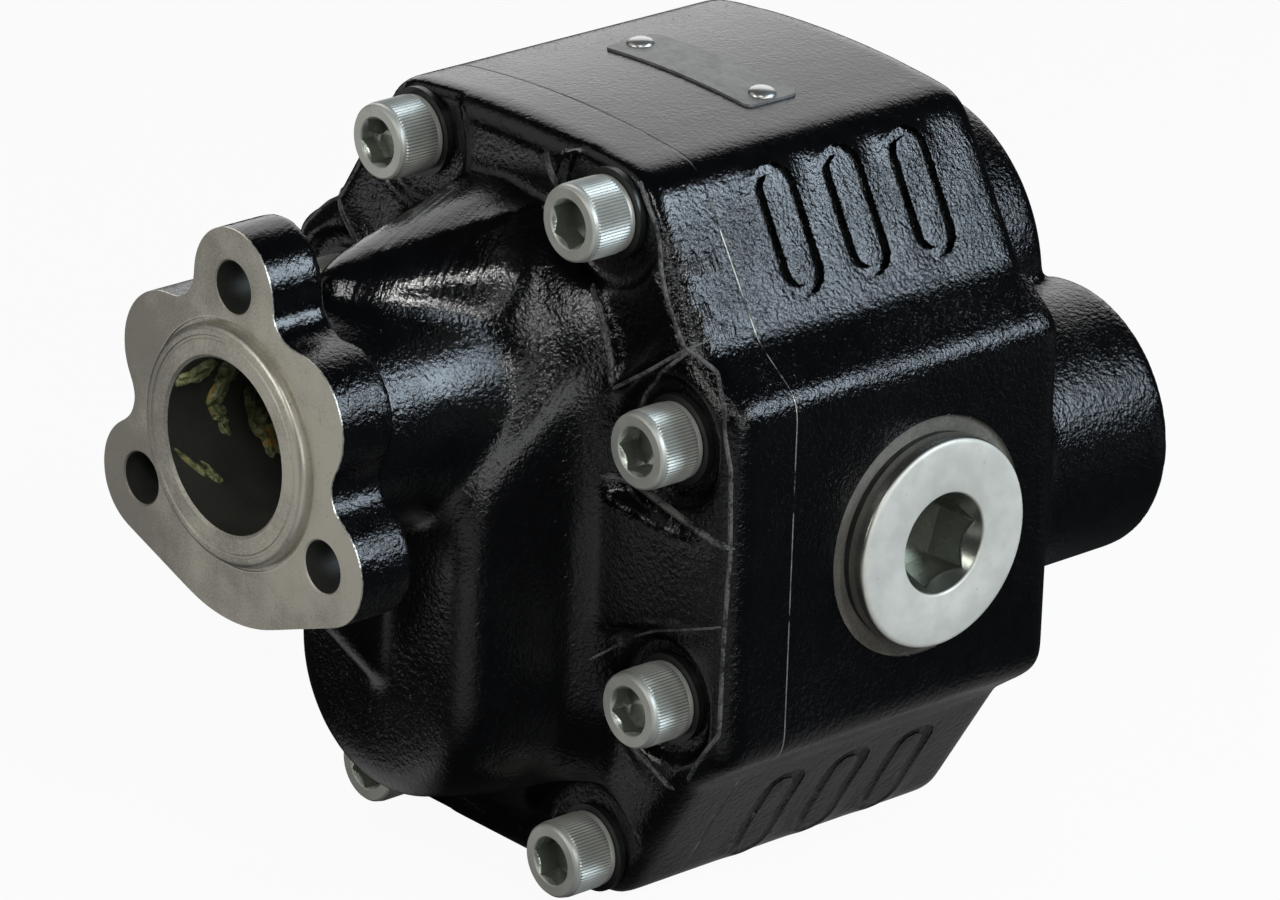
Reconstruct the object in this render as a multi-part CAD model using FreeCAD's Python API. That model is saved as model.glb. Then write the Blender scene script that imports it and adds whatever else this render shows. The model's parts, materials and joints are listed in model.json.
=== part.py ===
import FreeCAD, Part
import math
import os
from FreeCAD import Vector

# Bi-rotational external gear pump with a three-bolt flange, in millimetres.
# The origin is the centre of the flange's mounting face. The flange faces -Y,
# +X is the side that shows its port plug, and +Z is up. The driven gear lies
# under the drive gear.

# Mounting flange
flange_pitch_radius = 36.5
flange_hole_radius = 6.0
flange_thickness = 15.0
flange_boss_radius = 13.5
flange_lobe_centre_radius = 26.0
flange_lobe_radius = 15.4
flange_valley_radius = 7.5
flange_foot_radius = 41.6
spigot_radius = 27.5
spigot_height = 2.5
spigot_chamfer = 1.0
flange_bore_radius = 20.0
bore_chamfer = 0.8

# Gears
tooth_count = 12
gear_module = 5.0
pressure_angle = 25.0
centre_distance = 61.5
tooth_backlash = 0.16
tip_shortening = 0.1
flank_bend = 0.4
gear_width = 60.0
journal_radius = 18.0
journal_chamfer = 1.0

# Splined socket of the drive gear
spline_count = 6
spline_minor_radius = 10.5
spline_major_radius = 12.5
spline_key_width = 5.0
spline_depth = 50.0

# Front cover casting
cover_face = 96.0
plate_thickness = 18.0
plate_rim_round = 6.0
neck_radius = 27.5
web_start = 25.0
web_start_radius = 3.0
web_start_drop = 1.5
web_crest = 30.0
web_crest_radius = 8.3
web_crest_rise = 0.5
web_foot_radius = 24.5
web_foot_drop = 7.5
tower_front = 42.0
tower_front_radius = 29.0
tower_foot_radius = 37.5
tower_low_drop = 4.0
tower_edge_round = 7.0
flare_depth = 9.0
flare_radius = 43.0
rake_start_height = -16.0
rake_end = 70.0
rake_end_height = 14.8
neck_flare_start = 58.0
neck_flare_radius = 41.0
rib_width = 8.0
rib_start_height = -36.0
rib_foot_height = -70.0

# Case outline, half widths and heights from its own middle
case_half_width = 77.0
case_corner_height = 87.2
case_crown_slope = 6.5
case_crown_radius = 280.0
case_top_half_width = 41.8
case_waist_half_width = 63.7
case_waist_height = 52.0
case_side_height = 42.3
case_top_round = 12.0
case_waist_round = 8.0

# Cover screws and their seats
screw_radius = 6.0
screw_head_radius = 9.0
screw_head_height = 12.0
screw_head_chamfer = 0.6
screw_socket_flats = 10.0
screw_socket_depth = 6.0
screw_length = 45.0
washer_thickness = 1.5
washer_radius = 10.3
outer_screw_x = 32.6
outer_screw_height = case_corner_height - 10.7
side_screw_x = 56.9
side_screw_height = 30.9
seat_depth = 2.5
outer_seat_radius = 17.0
side_seat_radius = 14.5
screw_hole_clearance = 0.75
thread_clearance = 0.02
thread_spare_depth = 4.0

# Pads and ribs on the cover plate
pad_inner_top = 15.5
pad_inner_low = -20.0
pad_outer_half = 9.0
pad_rise = 6.0
corner_rib_width = 5.0
corner_rib_rise = 3.5

# Pump body casting
rear_wall = 6.0
body_rear_round = 5.0
chamber_clearance = 0.12
tower_end_wall = 4.9
bearing_tower_radius = 39.5
bearing_tower_draft = 1.0
bearing_tower_chamfer = 3.0
port_boss_inset = 34.5
port_boss_radius = 32.5
port_boss_length = 38.0
port_boss_chamfer = 1.2
groove_length = 30.5
groove_outer_width = 12.0
groove_width = 3.2
groove_depth = 2.0
groove_spacing = 20.0
groove_first = 18.5
groove_count = 3
groove_offset = 19.5

# Ports
port_thread_radius = 20.95
port_thread_depth = 22.0
port_mouth_chamfer = 1.0
port_passage_radius = 13.0
port_passage_x = 45.0
side_port_offset = 41.0
side_passage_radius = 15.0
spotface_radius = 28.3
spotface_depth = 0.8

# Port plugs
plug_collar_radius = 24.75
plug_collar_thickness = 5.2
plug_collar_chamfer = 0.9
plug_thread_length = 16.0
plug_thread_clearance = 0.05
plug_undercut = 1.5
plug_undercut_length = 2.5
plug_socket_flats = 19.0
plug_socket_depth = 13.0
plug_mouth_radius = 12.2
plug_mouth_depth = 5.5
plug_seal_thickness = 1.5
plug_seal_width = 3.4

# Bearings, plates and seals
bush_wall = 6.0
bush_length = 32.0
bush_fit = 0.01
journal_running = 0.03
oil_groove_width = 3.0
oil_groove_depth = 1.0
wear_plate_thickness = 7.8
wear_plate_clearance = 0.08
axial_clearance = 0.1
plate_relief_width = 14.0
plate_relief_depth = 9.0
seal_cord_width = 2.4
seal_cord_height = 2.0
seal_groove_gap = 0.05
plate_seal_inset = 3.0
case_seal_offset = 3.2
shaft_seal_width = 8.0
shaft_seal_gap = 0.2
seal_lip_clearance = 0.06
seal_shell = 1.6
circlip_thickness = 1.75
circlip_radial_depth = 4.6
circlip_groove_depth = 1.4
circlip_gap_width = 12.0
dowel_radius = 4.0
dowel_length = 20.0
dowel_x = 60.0
dowel_fit = 0.01

# Nameplate
nameplate_length = 49.0
nameplate_width = 15.4
nameplate_thickness = 0.6
nameplate_corner = 2.0
nameplate_x = 1.5
nameplate_offset = 37.0
nameplate_screw_spacing = 41.0
nameplate_screw_head = 3.3
nameplate_screw_rise = 1.6
nameplate_screw_shank = 1.3
nameplate_screw_length = 6.0

# Values worked out from the driving ones
mid_z = -centre_distance / 2
driven_z = -centre_distance
plate_front = cover_face - plate_thickness
seat_face = plate_front + seat_depth
chamber_depth = 2 * wear_plate_thickness + gear_width + 4 * axial_clearance
chamber_end = cover_face + chamber_depth
body_rear = chamber_end + rear_wall
port_boss_x = case_half_width - port_boss_inset
gear_front = cover_face + wear_plate_thickness + 2 * axial_clearance
gear_rear = gear_front + gear_width
bearing_radius = journal_radius + bush_wall
bush_start = cover_face - axial_clearance - bush_length
circlip_start = bush_start - shaft_seal_gap - circlip_thickness
seal_shoulder = circlip_start - 3 * shaft_seal_gap - 2 * shaft_seal_width
driven_bore_end = bush_start - 3.0
rear_bush_end = chamber_end + axial_clearance + bush_length
rear_bore_end = rear_bush_end + 2.0
drive_front_end = seal_shoulder - 12.0
tower_end = rear_bore_end + tower_end_wall
port_face = body_rear + port_boss_length
side_port_y = cover_face + side_port_offset
crown_apex = case_corner_height + case_top_half_width * math.tan(math.radians(case_crown_slope))
crown_drop = case_crown_radius * (1 / math.cos(math.radians(case_crown_slope)) - 1)
case_top = mid_z + crown_apex - crown_drop
crown_centre_z = case_top - case_crown_radius
screw_seat = seat_face - washer_thickness
screw_spots = [(sx * outer_screw_x, sz * outer_screw_height) for sx in (-1, 1) for sz in (-1, 1)]
screw_spots += [(sx * side_screw_x, sz * side_screw_height) for sx in (-1, 1) for sz in (-1, 1)]
along_y = Vector(0, 1, 0)


def cylinder(radius, y0, y1, x=0.0, z=0.0):
    """Round bar along the drive axis."""
    return Part.makeCylinder(radius, y1 - y0, Vector(x, y0, z), along_y)


def cone(radius0, y0, radius1, y1, x=0.0, z=0.0):
    """Tapered round bar along the drive axis."""
    return Part.makeCone(radius0, radius1, y1 - y0, Vector(x, y0, z), along_y)


def ring(outer, inner, y0, y1, x=0.0, z=0.0):
    """Plain ring along the drive axis."""
    return cylinder(outer, y0, y1, x, z).cut(cylinder(inner, y0, y1, x, z))


def box(x0, x1, y0, y1, z0, z1):
    return Part.makeBox(x1 - x0, y1 - y0, z1 - z0, Vector(x0, y0, z0))


def join(*shapes):
    return shapes[0].multiFuse(list(shapes[1:])).removeSplitter()


def mirrored(shape):
    """The same shape on the other side of the pump's middle plane."""
    return shape.mirror(Vector(0, 0, 0), Vector(1, 0, 0))


def prism(wire, depth):
    return Part.Face(wire).extrude(Vector(0, depth, 0))


def rounded_loop(corners, y):
    """Closed outline in a plane across the axis, each corner (x, z, round)."""
    ends = []
    count = len(corners)
    for i, (x, z, radius) in enumerate(corners):
        here = Vector(x, y, z)
        before = Vector(corners[i - 1][0], y, corners[i - 1][1]) - here
        after = Vector(corners[(i + 1) % count][0], y, corners[(i + 1) % count][1]) - here
        before.normalize()
        after.normalize()
        half = before.getAngle(after) / 2
        reach = radius / math.tan(half)
        middle = before + after
        middle.normalize()
        top = here + middle * (radius / math.sin(half) - radius)
        ends.append((here + before * reach, top, here + after * reach))
    edges = []
    for i, (start, top, end) in enumerate(ends):
        edges.append(Part.Arc(start, top, end).toShape())
        edges.append(Part.LineSegment(end, ends[(i + 1) % count][0]).toShape())
    return Part.Wire(edges)


def case_outline(y):
    """Outline of cover and body: a low crown on top, a flat underside."""
    quarter = [
        (case_top_half_width, case_corner_height, case_top_round),
        (case_waist_half_width, case_waist_height, case_waist_round),
        (case_half_width, case_side_height, case_waist_round),
    ]
    right = quarter + [(x, -z, r) for x, z, r in reversed(quarter)]
    left = [(-x, z, r) for x, z, r in reversed(right)]
    crown = [(0.0, crown_apex, case_crown_radius)]
    return rounded_loop([(x, mid_z + z, r) for x, z, r in crown + right + left], y)


def obround_outline(radius, y, drop=0.0):
    """Outline round both gear axes, its lower arc set down by the drop."""
    low = driven_z - drop
    points = [Vector(radius, y, 0), Vector(-radius, y, 0), Vector(-radius, y, low), Vector(radius, y, low)]
    return Part.Wire([
        Part.Arc(points[0], Vector(0, y, radius), points[1]).toShape(),
        Part.LineSegment(points[1], points[2]).toShape(),
        Part.Arc(points[2], Vector(0, y, low - radius), points[3]).toShape(),
        Part.LineSegment(points[3], points[0]).toShape(),
    ])


def obround(radius, y0, y1):
    return prism(obround_outline(radius, y0), y1 - y0)


def tapered_obround(radius0, y0, radius1, y1, drop=0.0):
    return Part.makeLoft([obround_outline(radius0, y0, drop), obround_outline(radius1, y1, drop)], True, True)


def figure_eight(radius, y0, y1):
    """Two round bars, one on each gear axis, that run into each other."""
    return join(cylinder(radius, y0, y1), cylinder(radius, y0, y1, 0.0, driven_z))


def rim_edges(shape, y):
    """Edges that lie wholly in one plane across the axis."""
    return [e for e in shape.Edges if all(abs(v.Y - y) < 1e-6 for v in e.Vertexes)]


def polar(radius, degrees, y=0.0):
    angle = math.radians(degrees)
    return Vector(radius * math.cos(angle), y, radius * math.sin(angle))


def hexagon_prism(flats, length, origin, direction, turn=0.0):
    """Six-sided bar from a point along a direction, turned about its own axis."""
    points = []
    for k in range(7):
        angle = math.radians(60 * k + turn)
        points.append(Vector(flats / math.sqrt(3) * math.cos(angle), flats / math.sqrt(3) * math.sin(angle), 0))
    bar = Part.Face(Part.makePolygon(points)).extrude(Vector(0, 0, length))
    bar.Placement = FreeCAD.Placement(origin, FreeCAD.Rotation(Vector(0, 0, 1), direction))
    return bar


def valley_arc(centre0, radius0, centre1, radius1):
    """Concave arc of the flange outline, touching two outward arcs."""
    span = centre1 - centre0
    reach0 = radius0 + flange_valley_radius
    reach1 = radius1 + flange_valley_radius
    along = (span.Length ** 2 + reach0 ** 2 - reach1 ** 2) / (2 * span.Length)
    across = math.sqrt(reach0 ** 2 - along ** 2)
    unit = Vector(span).normalize()
    side = Vector(-unit.z, 0, unit.x)
    if side.dot(centre0 + centre1) < 0:
        side = side * -1
    middle = centre0 + unit * along + side * across
    start = centre0 + (middle - centre0) * (radius0 / reach0)
    end = centre1 + (middle - centre1) * (radius1 / reach1)
    inward = (start - middle).normalize() + (end - middle).normalize()
    return start, middle + inward.normalize() * flange_valley_radius, end


def flange_outline(y):
    """Three bolt bosses, two plain lobes and a round foot, joined by valleys."""
    top = polar(flange_pitch_radius, 90)
    lobe = polar(flange_lobe_centre_radius, 30)
    low = polar(flange_pitch_radius, -30)
    first = valley_arc(top, flange_boss_radius, lobe, flange_lobe_radius)
    second = valley_arc(lobe, flange_lobe_radius, low, flange_boss_radius)
    lean = math.acos((flange_foot_radius - flange_boss_radius) / flange_pitch_radius)
    normal = polar(1.0, -30 - math.degrees(lean))
    boss_end = low + normal * flange_boss_radius
    foot_start = normal * flange_foot_radius
    half = [
        Part.Arc(top + Vector(0, 0, flange_boss_radius),
                 top + (first[0] - top + Vector(0, 0, flange_boss_radius)).normalize() * flange_boss_radius,
                 first[0]),
        Part.Arc(*first),
        Part.Arc(first[2], lobe + polar(flange_lobe_radius, 30), second[0]),
        Part.Arc(*second),
        Part.Arc(second[2], low + polar(flange_boss_radius, -30), boss_end),
        Part.LineSegment(boss_end, foot_start),
        Part.Arc(foot_start, polar(flange_foot_radius, (-120 - math.degrees(lean)) / 2),
                 Vector(0, 0, -flange_foot_radius)),
    ]
    right = [piece.toShape() for piece in half]
    left = [mirrored(edge) for edge in right]
    wire = Part.Wire(Part.__sortEdges__(right + left))
    wire.translate(Vector(0, y, 0))
    return wire


def cover_screw_holes(radius, y0, y1):
    return [cylinder(radius, y0, y1, x, mid_z + z) for x, z in screw_spots]


def top_web():
    """Web that fans out over the neck, from behind the top bolt boss to the plate."""
    sections = [(web_start_radius, web_start, neck_radius - web_start_drop),
                (web_crest_radius, web_crest, neck_radius + web_crest_rise),
                (web_foot_radius, plate_front + 1, neck_radius - web_foot_drop)]
    circles = [Part.Wire(Part.makeCircle(radius, Vector(0, y, z), along_y)) for radius, y, z in sections]
    return Part.makeLoft(circles, True, True)


def rake():
    """What the tower's front lacks round the neck, above a plane that leans back."""
    points = [Vector(-60, tower_front - 1, rake_start_height), Vector(-60, tower_front, rake_start_height),
              Vector(-60, rake_end, rake_end_height), Vector(-60, rake_end, 60), Vector(-60, tower_front - 1, 60)]
    return Part.Face(Part.makePolygon(points + points[:1])).extrude(Vector(120, 0, 0))


def centre_rib():
    """Rib from the neck's underside down to the tower's face."""
    points = [
        Vector(-rib_width / 2, flange_thickness - 1, rib_start_height),
        Vector(-rib_width / 2, tower_front + 1, rib_foot_height),
        Vector(-rib_width / 2, tower_front + tower_edge_round, rib_foot_height),
        Vector(-rib_width / 2, tower_front + tower_edge_round, 0),
        Vector(-rib_width / 2, flange_thickness - 1, 0),
    ]
    rib = Part.Face(Part.makePolygon(points + points[:1])).extrude(Vector(rib_width, 0, 0))
    crest = [e for e in rib.Edges if abs(e.Vertexes[0].Z - e.Vertexes[1].Z) > 20
             and abs(e.Vertexes[0].Y - e.Vertexes[1].Y) > 20]
    return rib.makeFillet(rib_width / 2 - 0.5, crest)


def side_pad():
    """Raised pad between the two screws of one side, narrowing and sloping to the rim."""
    inner = tower_foot_radius - 4
    outer = case_half_width - plate_rim_round
    front = plate_front - pad_rise
    points = [
        Vector(inner, front, mid_z + pad_inner_top),
        Vector(outer, front, mid_z + pad_outer_half),
        Vector(outer, front, mid_z - pad_outer_half),
        Vector(inner, front, mid_z + pad_inner_low),
    ]
    pad = prism(Part.makePolygon(points + points[:1]), pad_rise + 4)
    slope = Part.Face(Part.makePolygon([
        Vector(inner, front, 0), Vector(outer, plate_front, 0), Vector(outer, front - 1, 0),
        Vector(inner, front - 1, 0), Vector(inner, front, 0)]))
    slope.translate(Vector(0, 0, 2 * mid_z))
    return pad.cut(slope.extrude(Vector(0, 0, -4 * mid_z)))


def corner_rib(sign):
    """Low rib from the tower's foot to the waist of the outline."""
    start = Vector(tower_foot_radius, 0, mid_z + sign * 36.0)
    end = Vector(case_waist_half_width - 5, 0, mid_z + sign * (case_waist_height + 1))
    along = end - start
    rib = box(0, along.Length, plate_front - corner_rib_rise, plate_front + 3,
              -corner_rib_width / 2, corner_rib_width / 2)
    tool = Part.makeBox(along.Length * 1.2, 30, corner_rib_width * 2,
                        Vector(0, -30, -corner_rib_width))
    tool.rotate(Vector(0, 0, 0), Vector(0, 0, 1), math.degrees(math.atan2(corner_rib_rise, along.Length)))
    tool.translate(Vector(0, plate_front - corner_rib_rise, 0))
    rib = rib.cut(tool)
    rib.rotate(Vector(0, 0, 0), Vector(0, 1, 0), -math.degrees(math.atan2(along.z, along.x)))
    rib.translate(start)
    return rib


def front_cover():
    flange = prism(flange_outline(0.0), flange_thickness)
    spigot = cylinder(spigot_radius, -spigot_height, 1)
    spigot = spigot.makeChamfer(spigot_chamfer, rim_edges(spigot, -spigot_height))
    neck = join(cylinder(neck_radius, flange_thickness - 1, plate_front + 1),
                cone(neck_radius, neck_flare_start, neck_flare_radius, plate_front))
    tower = tapered_obround(tower_front_radius, tower_front, tower_foot_radius, plate_front, tower_low_drop)
    tower = tower.makeFillet(tower_edge_round, rim_edges(tower, tower_front)).cut(rake())
    flare = tapered_obround(tower_foot_radius - 1.5, plate_front - flare_depth, flare_radius, plate_front,
                            tower_low_drop)
    plate = prism(case_outline(plate_front), plate_thickness)
    plate = plate.makeFillet(plate_rim_round, rim_edges(plate, plate_front))
    seats = [cylinder(outer_seat_radius, plate_front - 20, seat_face, sx * outer_screw_x,
                      mid_z + sz * outer_screw_height) for sx in (-1, 1) for sz in (-1, 1)]
    seats += [cylinder(side_seat_radius, plate_front - 20, seat_face, sx * side_screw_x,
                       mid_z + sz * side_screw_height) for sx in (-1, 1) for sz in (-1, 1)]
    pads = [side_pad(), corner_rib(1), corner_rib(-1)]
    plate = join(plate, flare, *(pads + [mirrored(pad) for pad in pads]))
    plate = plate.cut(seats)
    cover = join(plate, tower, neck, top_web(), centre_rib(), flange, spigot)
    holes = [cylinder(flange_bore_radius, -spigot_height - 1, seal_shoulder + 1)]
    holes.append(cone(flange_bore_radius + bore_chamfer, -spigot_height,
                      flange_bore_radius, bore_chamfer - spigot_height))
    holes.append(cylinder(bearing_radius, seal_shoulder, cover_face + 1))
    holes.append(cylinder(bearing_radius, driven_bore_end, cover_face + 1, 0.0, driven_z))
    holes.append(cylinder(bearing_radius + circlip_groove_depth, circlip_start - shaft_seal_gap / 4,
                          circlip_start + circlip_thickness + shaft_seal_gap / 4))
    for angle in (90, 210, 330):
        spot = polar(flange_pitch_radius, angle)
        holes.append(cylinder(flange_hole_radius, -1, flange_thickness + 1, spot.x, spot.z))
    holes += cover_screw_holes(screw_radius + screw_hole_clearance, plate_front - 5, cover_face + 1)
    for side in (-1, 1):
        holes.append(cylinder(dowel_radius + dowel_fit, cover_face - dowel_length / 2 - 0.5,
                              cover_face + 1, side * dowel_x, mid_z))
    return cover.cut(holes)


def slope_grooves():
    """Closed racetrack channels on one sloped face, long side down the slope."""
    drop = Vector(case_waist_half_width - case_top_half_width, 0, case_waist_height - case_corner_height)
    drop.normalize()
    normal = Vector(-drop.z, 0, drop.x)
    corner = Vector(case_top_half_width, 0, mid_z + case_corner_height)
    outer = racetrack(groove_length, groove_outer_width)
    inner = racetrack(groove_length - 2 * groove_width, groove_outer_width - 2 * groove_width)
    channel = outer.cut(inner)
    grooves = []
    for k in range(groove_count):
        place = corner + drop * groove_offset + Vector(0, cover_face + groove_first + k * groove_spacing, 0)
        turn = FreeCAD.Rotation(drop, Vector(0, 1, 0), normal, "ZXY")
        groove = channel.copy()
        groove.Placement = FreeCAD.Placement(place - normal * groove_depth, turn)
        grooves.append(groove)
    return grooves


def racetrack(length, width):
    """Flat-sided slot shape, its length along X and its depth along Z."""
    half = length / 2 - width / 2
    points = [Vector(-half, -width / 2, 0), Vector(half, -width / 2, 0),
              Vector(half, width / 2, 0), Vector(-half, width / 2, 0)]
    wire = Part.Wire([
        Part.LineSegment(points[0], points[1]).toShape(),
        Part.Arc(points[1], Vector(length / 2, 0, 0), points[2]).toShape(),
        Part.LineSegment(points[2], points[3]).toShape(),
        Part.Arc(points[3], Vector(-length / 2, 0, 0), points[0]).toShape(),
    ])
    return Part.Face(wire).extrude(Vector(0, 0, 4 * groove_depth))


def pump_body():
    block = prism(case_outline(cover_face), body_rear - cover_face)
    block = block.makeFillet(body_rear_round, rim_edges(block, body_rear))
    tower = tapered_obround(bearing_tower_radius, body_rear - 1,
                            bearing_tower_radius - bearing_tower_draft, tower_end)
    tower = tower.makeChamfer(bearing_tower_chamfer, rim_edges(tower, tower_end))
    boss = cylinder(port_boss_radius, body_rear - 1, port_face, port_boss_x, mid_z)
    boss = boss.makeChamfer(port_boss_chamfer, rim_edges(boss, port_face))
    body = join(block, tower, boss, mirrored(boss))
    grooves = slope_grooves()
    grooves += [mirrored(groove) for groove in grooves]
    grooves += [groove.mirror(Vector(0, 0, mid_z), Vector(0, 0, 1)) for groove in grooves]
    chamber_radius = gear_tip_radius() + chamber_clearance
    cuts = [figure_eight(chamber_radius, cover_face - 1, chamber_end)]
    for z in (0.0, driven_z):
        cuts.append(cylinder(bearing_radius, chamber_end - 1, rear_bore_end, 0.0, z))
    for side in (-1, 1):
        x = side * port_boss_x
        cuts.append(cylinder(port_thread_radius, port_face - port_thread_depth, port_face + 1, x, mid_z))
        cuts.append(cone(port_thread_radius, port_face - port_mouth_chamfer,
                         port_thread_radius + port_mouth_chamfer, port_face, x, mid_z))
        cuts.append(cylinder(port_passage_radius, side_port_y, port_face - port_thread_depth + 1,
                             side * port_passage_x, mid_z))
        along_x = Vector(side, 0, 0)
        face = Vector(side * case_half_width, side_port_y, mid_z)
        cuts.append(Part.makeCylinder(spotface_radius, spotface_depth + 1,
                                      face - along_x * spotface_depth, along_x))
        cuts.append(Part.makeCylinder(port_thread_radius, port_thread_depth + 1,
                                      face - along_x * port_thread_depth, along_x))
        cuts.append(Part.makeCylinder(side_passage_radius, case_half_width - 10,
                                      Vector(side * 10, side_port_y, mid_z), along_x))
        cuts.append(cylinder(dowel_radius + dowel_fit, cover_face - 1,
                             cover_face + dowel_length / 2 + 0.5, side * dowel_x, mid_z))
        cuts.append(on_crown(nameplate_hole(nameplate_screw_shank + dowel_fit, nameplate_screw_length + 0.5),
                             nameplate_screw_place(side)))
    thread_end = screw_seat + screw_length + thread_spare_depth
    cuts += cover_screw_holes(screw_radius + thread_clearance, cover_face - 1, thread_end)
    inner = chamber_radius + case_seal_offset
    cuts.append(case_seal_ring(inner - seal_groove_gap, inner + seal_cord_width + seal_groove_gap,
                               cover_face - 1, cover_face + seal_cord_height + seal_groove_gap))
    return body.cut(grooves + cuts)


def gear_tip_radius():
    shift = profile_shift()
    gap = centre_distance / gear_module - tooth_count
    return gear_module * (tooth_count / 2 + 1 + shift - (2 * shift - gap)) - tip_shortening


def involute(angle):
    return math.tan(angle) - angle


def profile_shift():
    """Shift of each gear that makes the pair mesh at the centre distance."""
    alpha = math.radians(pressure_angle)
    working = math.acos(tooth_count * gear_module / centre_distance * math.cos(alpha))
    return (involute(working) - involute(alpha)) * tooth_count / (2 * math.tan(alpha))


def gear_outline(first_tooth, y):
    """Outline of a spur gear, one tooth centred at first_tooth degrees.

    Each involute flank is drawn as two arcs that meet at the flank's bend.
    """
    alpha = math.radians(pressure_angle)
    shift = profile_shift()
    pitch = gear_module * tooth_count / 2
    base = pitch * math.cos(alpha)
    root = gear_module * (tooth_count / 2 - 1.25 + shift)
    tip = gear_tip_radius()
    half_thick = (math.pi / 2 + 2 * shift * math.tan(alpha)) / tooth_count
    half_thick -= tooth_backlash / 2 / pitch

    def flank(radius):
        pressure = math.acos(min(1.0, base / radius))
        return half_thick + involute(alpha) - involute(pressure)

    reach = tip - base
    radii = [base, base + reach * flank_bend / 2, base + reach * flank_bend, (base + reach * flank_bend + tip) / 2, tip]
    step = 2 * math.pi / tooth_count
    centres = [math.radians(first_tooth) + k * step for k in range(tooth_count)]

    def at(radius, angle):
        return Vector(radius * math.cos(angle), y, radius * math.sin(angle))

    edges = []
    for centre in centres:
        rise = [at(r, centre - flank(r)) for r in radii]
        fall = [at(r, centre + flank(r)) for r in reversed(radii)]
        foot = flank(base)
        edges.append(Part.LineSegment(at(root, centre - foot), rise[0]).toShape())
        edges.append(Part.Arc(*rise[:3]).toShape())
        edges.append(Part.Arc(*rise[2:]).toShape())
        edges.append(Part.Arc(rise[-1], at(tip, centre), fall[0]).toShape())
        edges.append(Part.Arc(*fall[:3]).toShape())
        edges.append(Part.Arc(*fall[2:]).toShape())
        edges.append(Part.LineSegment(fall[-1], at(root, centre + foot)).toShape())
        edges.append(Part.Arc(at(root, centre + foot), at(root, centre + step / 2),
                              at(root, centre + step - foot)).toShape())
    return Part.Wire(edges)


def journal(y0, y1, z):
    bar = cylinder(journal_radius, y0, y1, 0.0, z)
    free_end = y0 if y0 < gear_front - 1 else y1
    return bar.makeChamfer(journal_chamfer, rim_edges(bar, free_end))


def drive_gear():
    teeth = prism(gear_outline(-90.0, gear_front), gear_width)
    gear = join(teeth, journal(drive_front_end, gear_front + 1, 0.0),
                journal(gear_rear - 1, rear_bush_end, 0.0))
    end = drive_front_end + spline_depth
    socket = [cylinder(spline_minor_radius, drive_front_end - 1, end)]
    socket.append(cone(spline_major_radius + 1, drive_front_end, spline_minor_radius,
                       drive_front_end + spline_major_radius + 1 - spline_minor_radius))
    for k in range(spline_count):
        key = box(0, spline_major_radius, drive_front_end - 1, end, -spline_key_width / 2, spline_key_width / 2)
        key.rotate(Vector(0, 0, 0), along_y, 360.0 / spline_count * k)
        socket.append(key)
    return gear.cut(join(*socket))


def driven_gear():
    outline = gear_outline(90.0 + 180.0 / tooth_count, gear_front)
    teeth = prism(outline, gear_width)
    teeth.translate(Vector(0, 0, driven_z))
    return join(teeth, journal(driven_bore_end + 1, gear_front + 1, driven_z),
                journal(gear_rear - 1, rear_bush_end, driven_z))


def bush(y0, z):
    """Plain bearing bush with an oil groove along its bore."""
    sleeve = ring(bearing_radius - bush_fit, journal_radius + journal_running, y0, y0 + bush_length, 0.0, z)
    outward = 1 if z > mid_z else -1
    reach = journal_radius + journal_running + oil_groove_depth
    low, high = sorted((z, z + outward * reach))
    return sleeve.cut(box(-oil_groove_width / 2, oil_groove_width / 2, y0 - 1, y0 + bush_length + 1, low, high))


def plate_seal_radii():
    outer = gear_tip_radius() + chamber_clearance - wear_plate_clearance - plate_seal_inset
    return outer - seal_cord_width, outer


def wear_plate(y0, seal_side):
    """Figure-eight plate beside the gears, with a seal groove on its outer face."""
    radius = gear_tip_radius() + chamber_clearance - wear_plate_clearance
    plate = figure_eight(radius, y0, y0 + wear_plate_thickness)
    inner, outer = plate_seal_radii()
    depth = seal_cord_height + seal_groove_gap
    start = y0 - 1 if seal_side < 0 else y0 + wear_plate_thickness - depth
    end = start + depth + 1
    groove = figure_eight(outer + seal_groove_gap, start, end).cut(
        figure_eight(inner - seal_groove_gap, start, end))
    cuts = [groove]
    for z in (0.0, driven_z):
        cuts.append(cylinder(journal_radius + 0.3, y0 - 1, y0 + wear_plate_thickness + 1, 0.0, z))
    relief_start = y0 + wear_plate_thickness - 2.5 if seal_side < 0 else y0 - 1
    for side in (-1, 1):
        low, high = sorted((side * plate_relief_depth, side * 3 * plate_relief_depth))
        cuts.append(box(low, high, relief_start, relief_start + 3.5,
                        mid_z - plate_relief_width / 2, mid_z + plate_relief_width / 2))
    return plate.cut(cuts)


def plate_seal(y0):
    inner, outer = plate_seal_radii()
    return figure_eight(outer, y0, y0 + seal_cord_height).cut(
        figure_eight(inner, y0, y0 + seal_cord_height))


def case_seal_ring(inner, outer, y0, y1):
    return obround(outer, y0, y1).cut(obround(inner, y0, y1))


def housing_seal():
    inner = gear_tip_radius() + chamber_clearance + case_seal_offset
    return case_seal_ring(inner, inner + seal_cord_width, cover_face + 0.02, cover_face + seal_cord_height)


def shaft_seal(y0):
    """Lip seal: outer shell, web and a lip that leans towards the shaft."""
    y1 = y0 + shaft_seal_width
    outer = bearing_radius - bush_fit
    lip = journal_radius + seal_lip_clearance
    points = [
        Vector(outer, y0, 0), Vector(outer, y1, 0), Vector(outer - seal_shell, y1, 0),
        Vector(outer - seal_shell, y0 + seal_shell, 0), Vector(lip + seal_shell, y0 + seal_shell, 0),
        Vector(lip + seal_shell, y1 - seal_shell, 0), Vector(lip, y1 - 2 * seal_shell, 0),
        Vector(lip + seal_shell / 2, y0, 0),
    ]
    face = Part.Face(Part.makePolygon(points + points[:1]))
    return face.revolve(Vector(0, 0, 0), along_y, 360)


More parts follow.
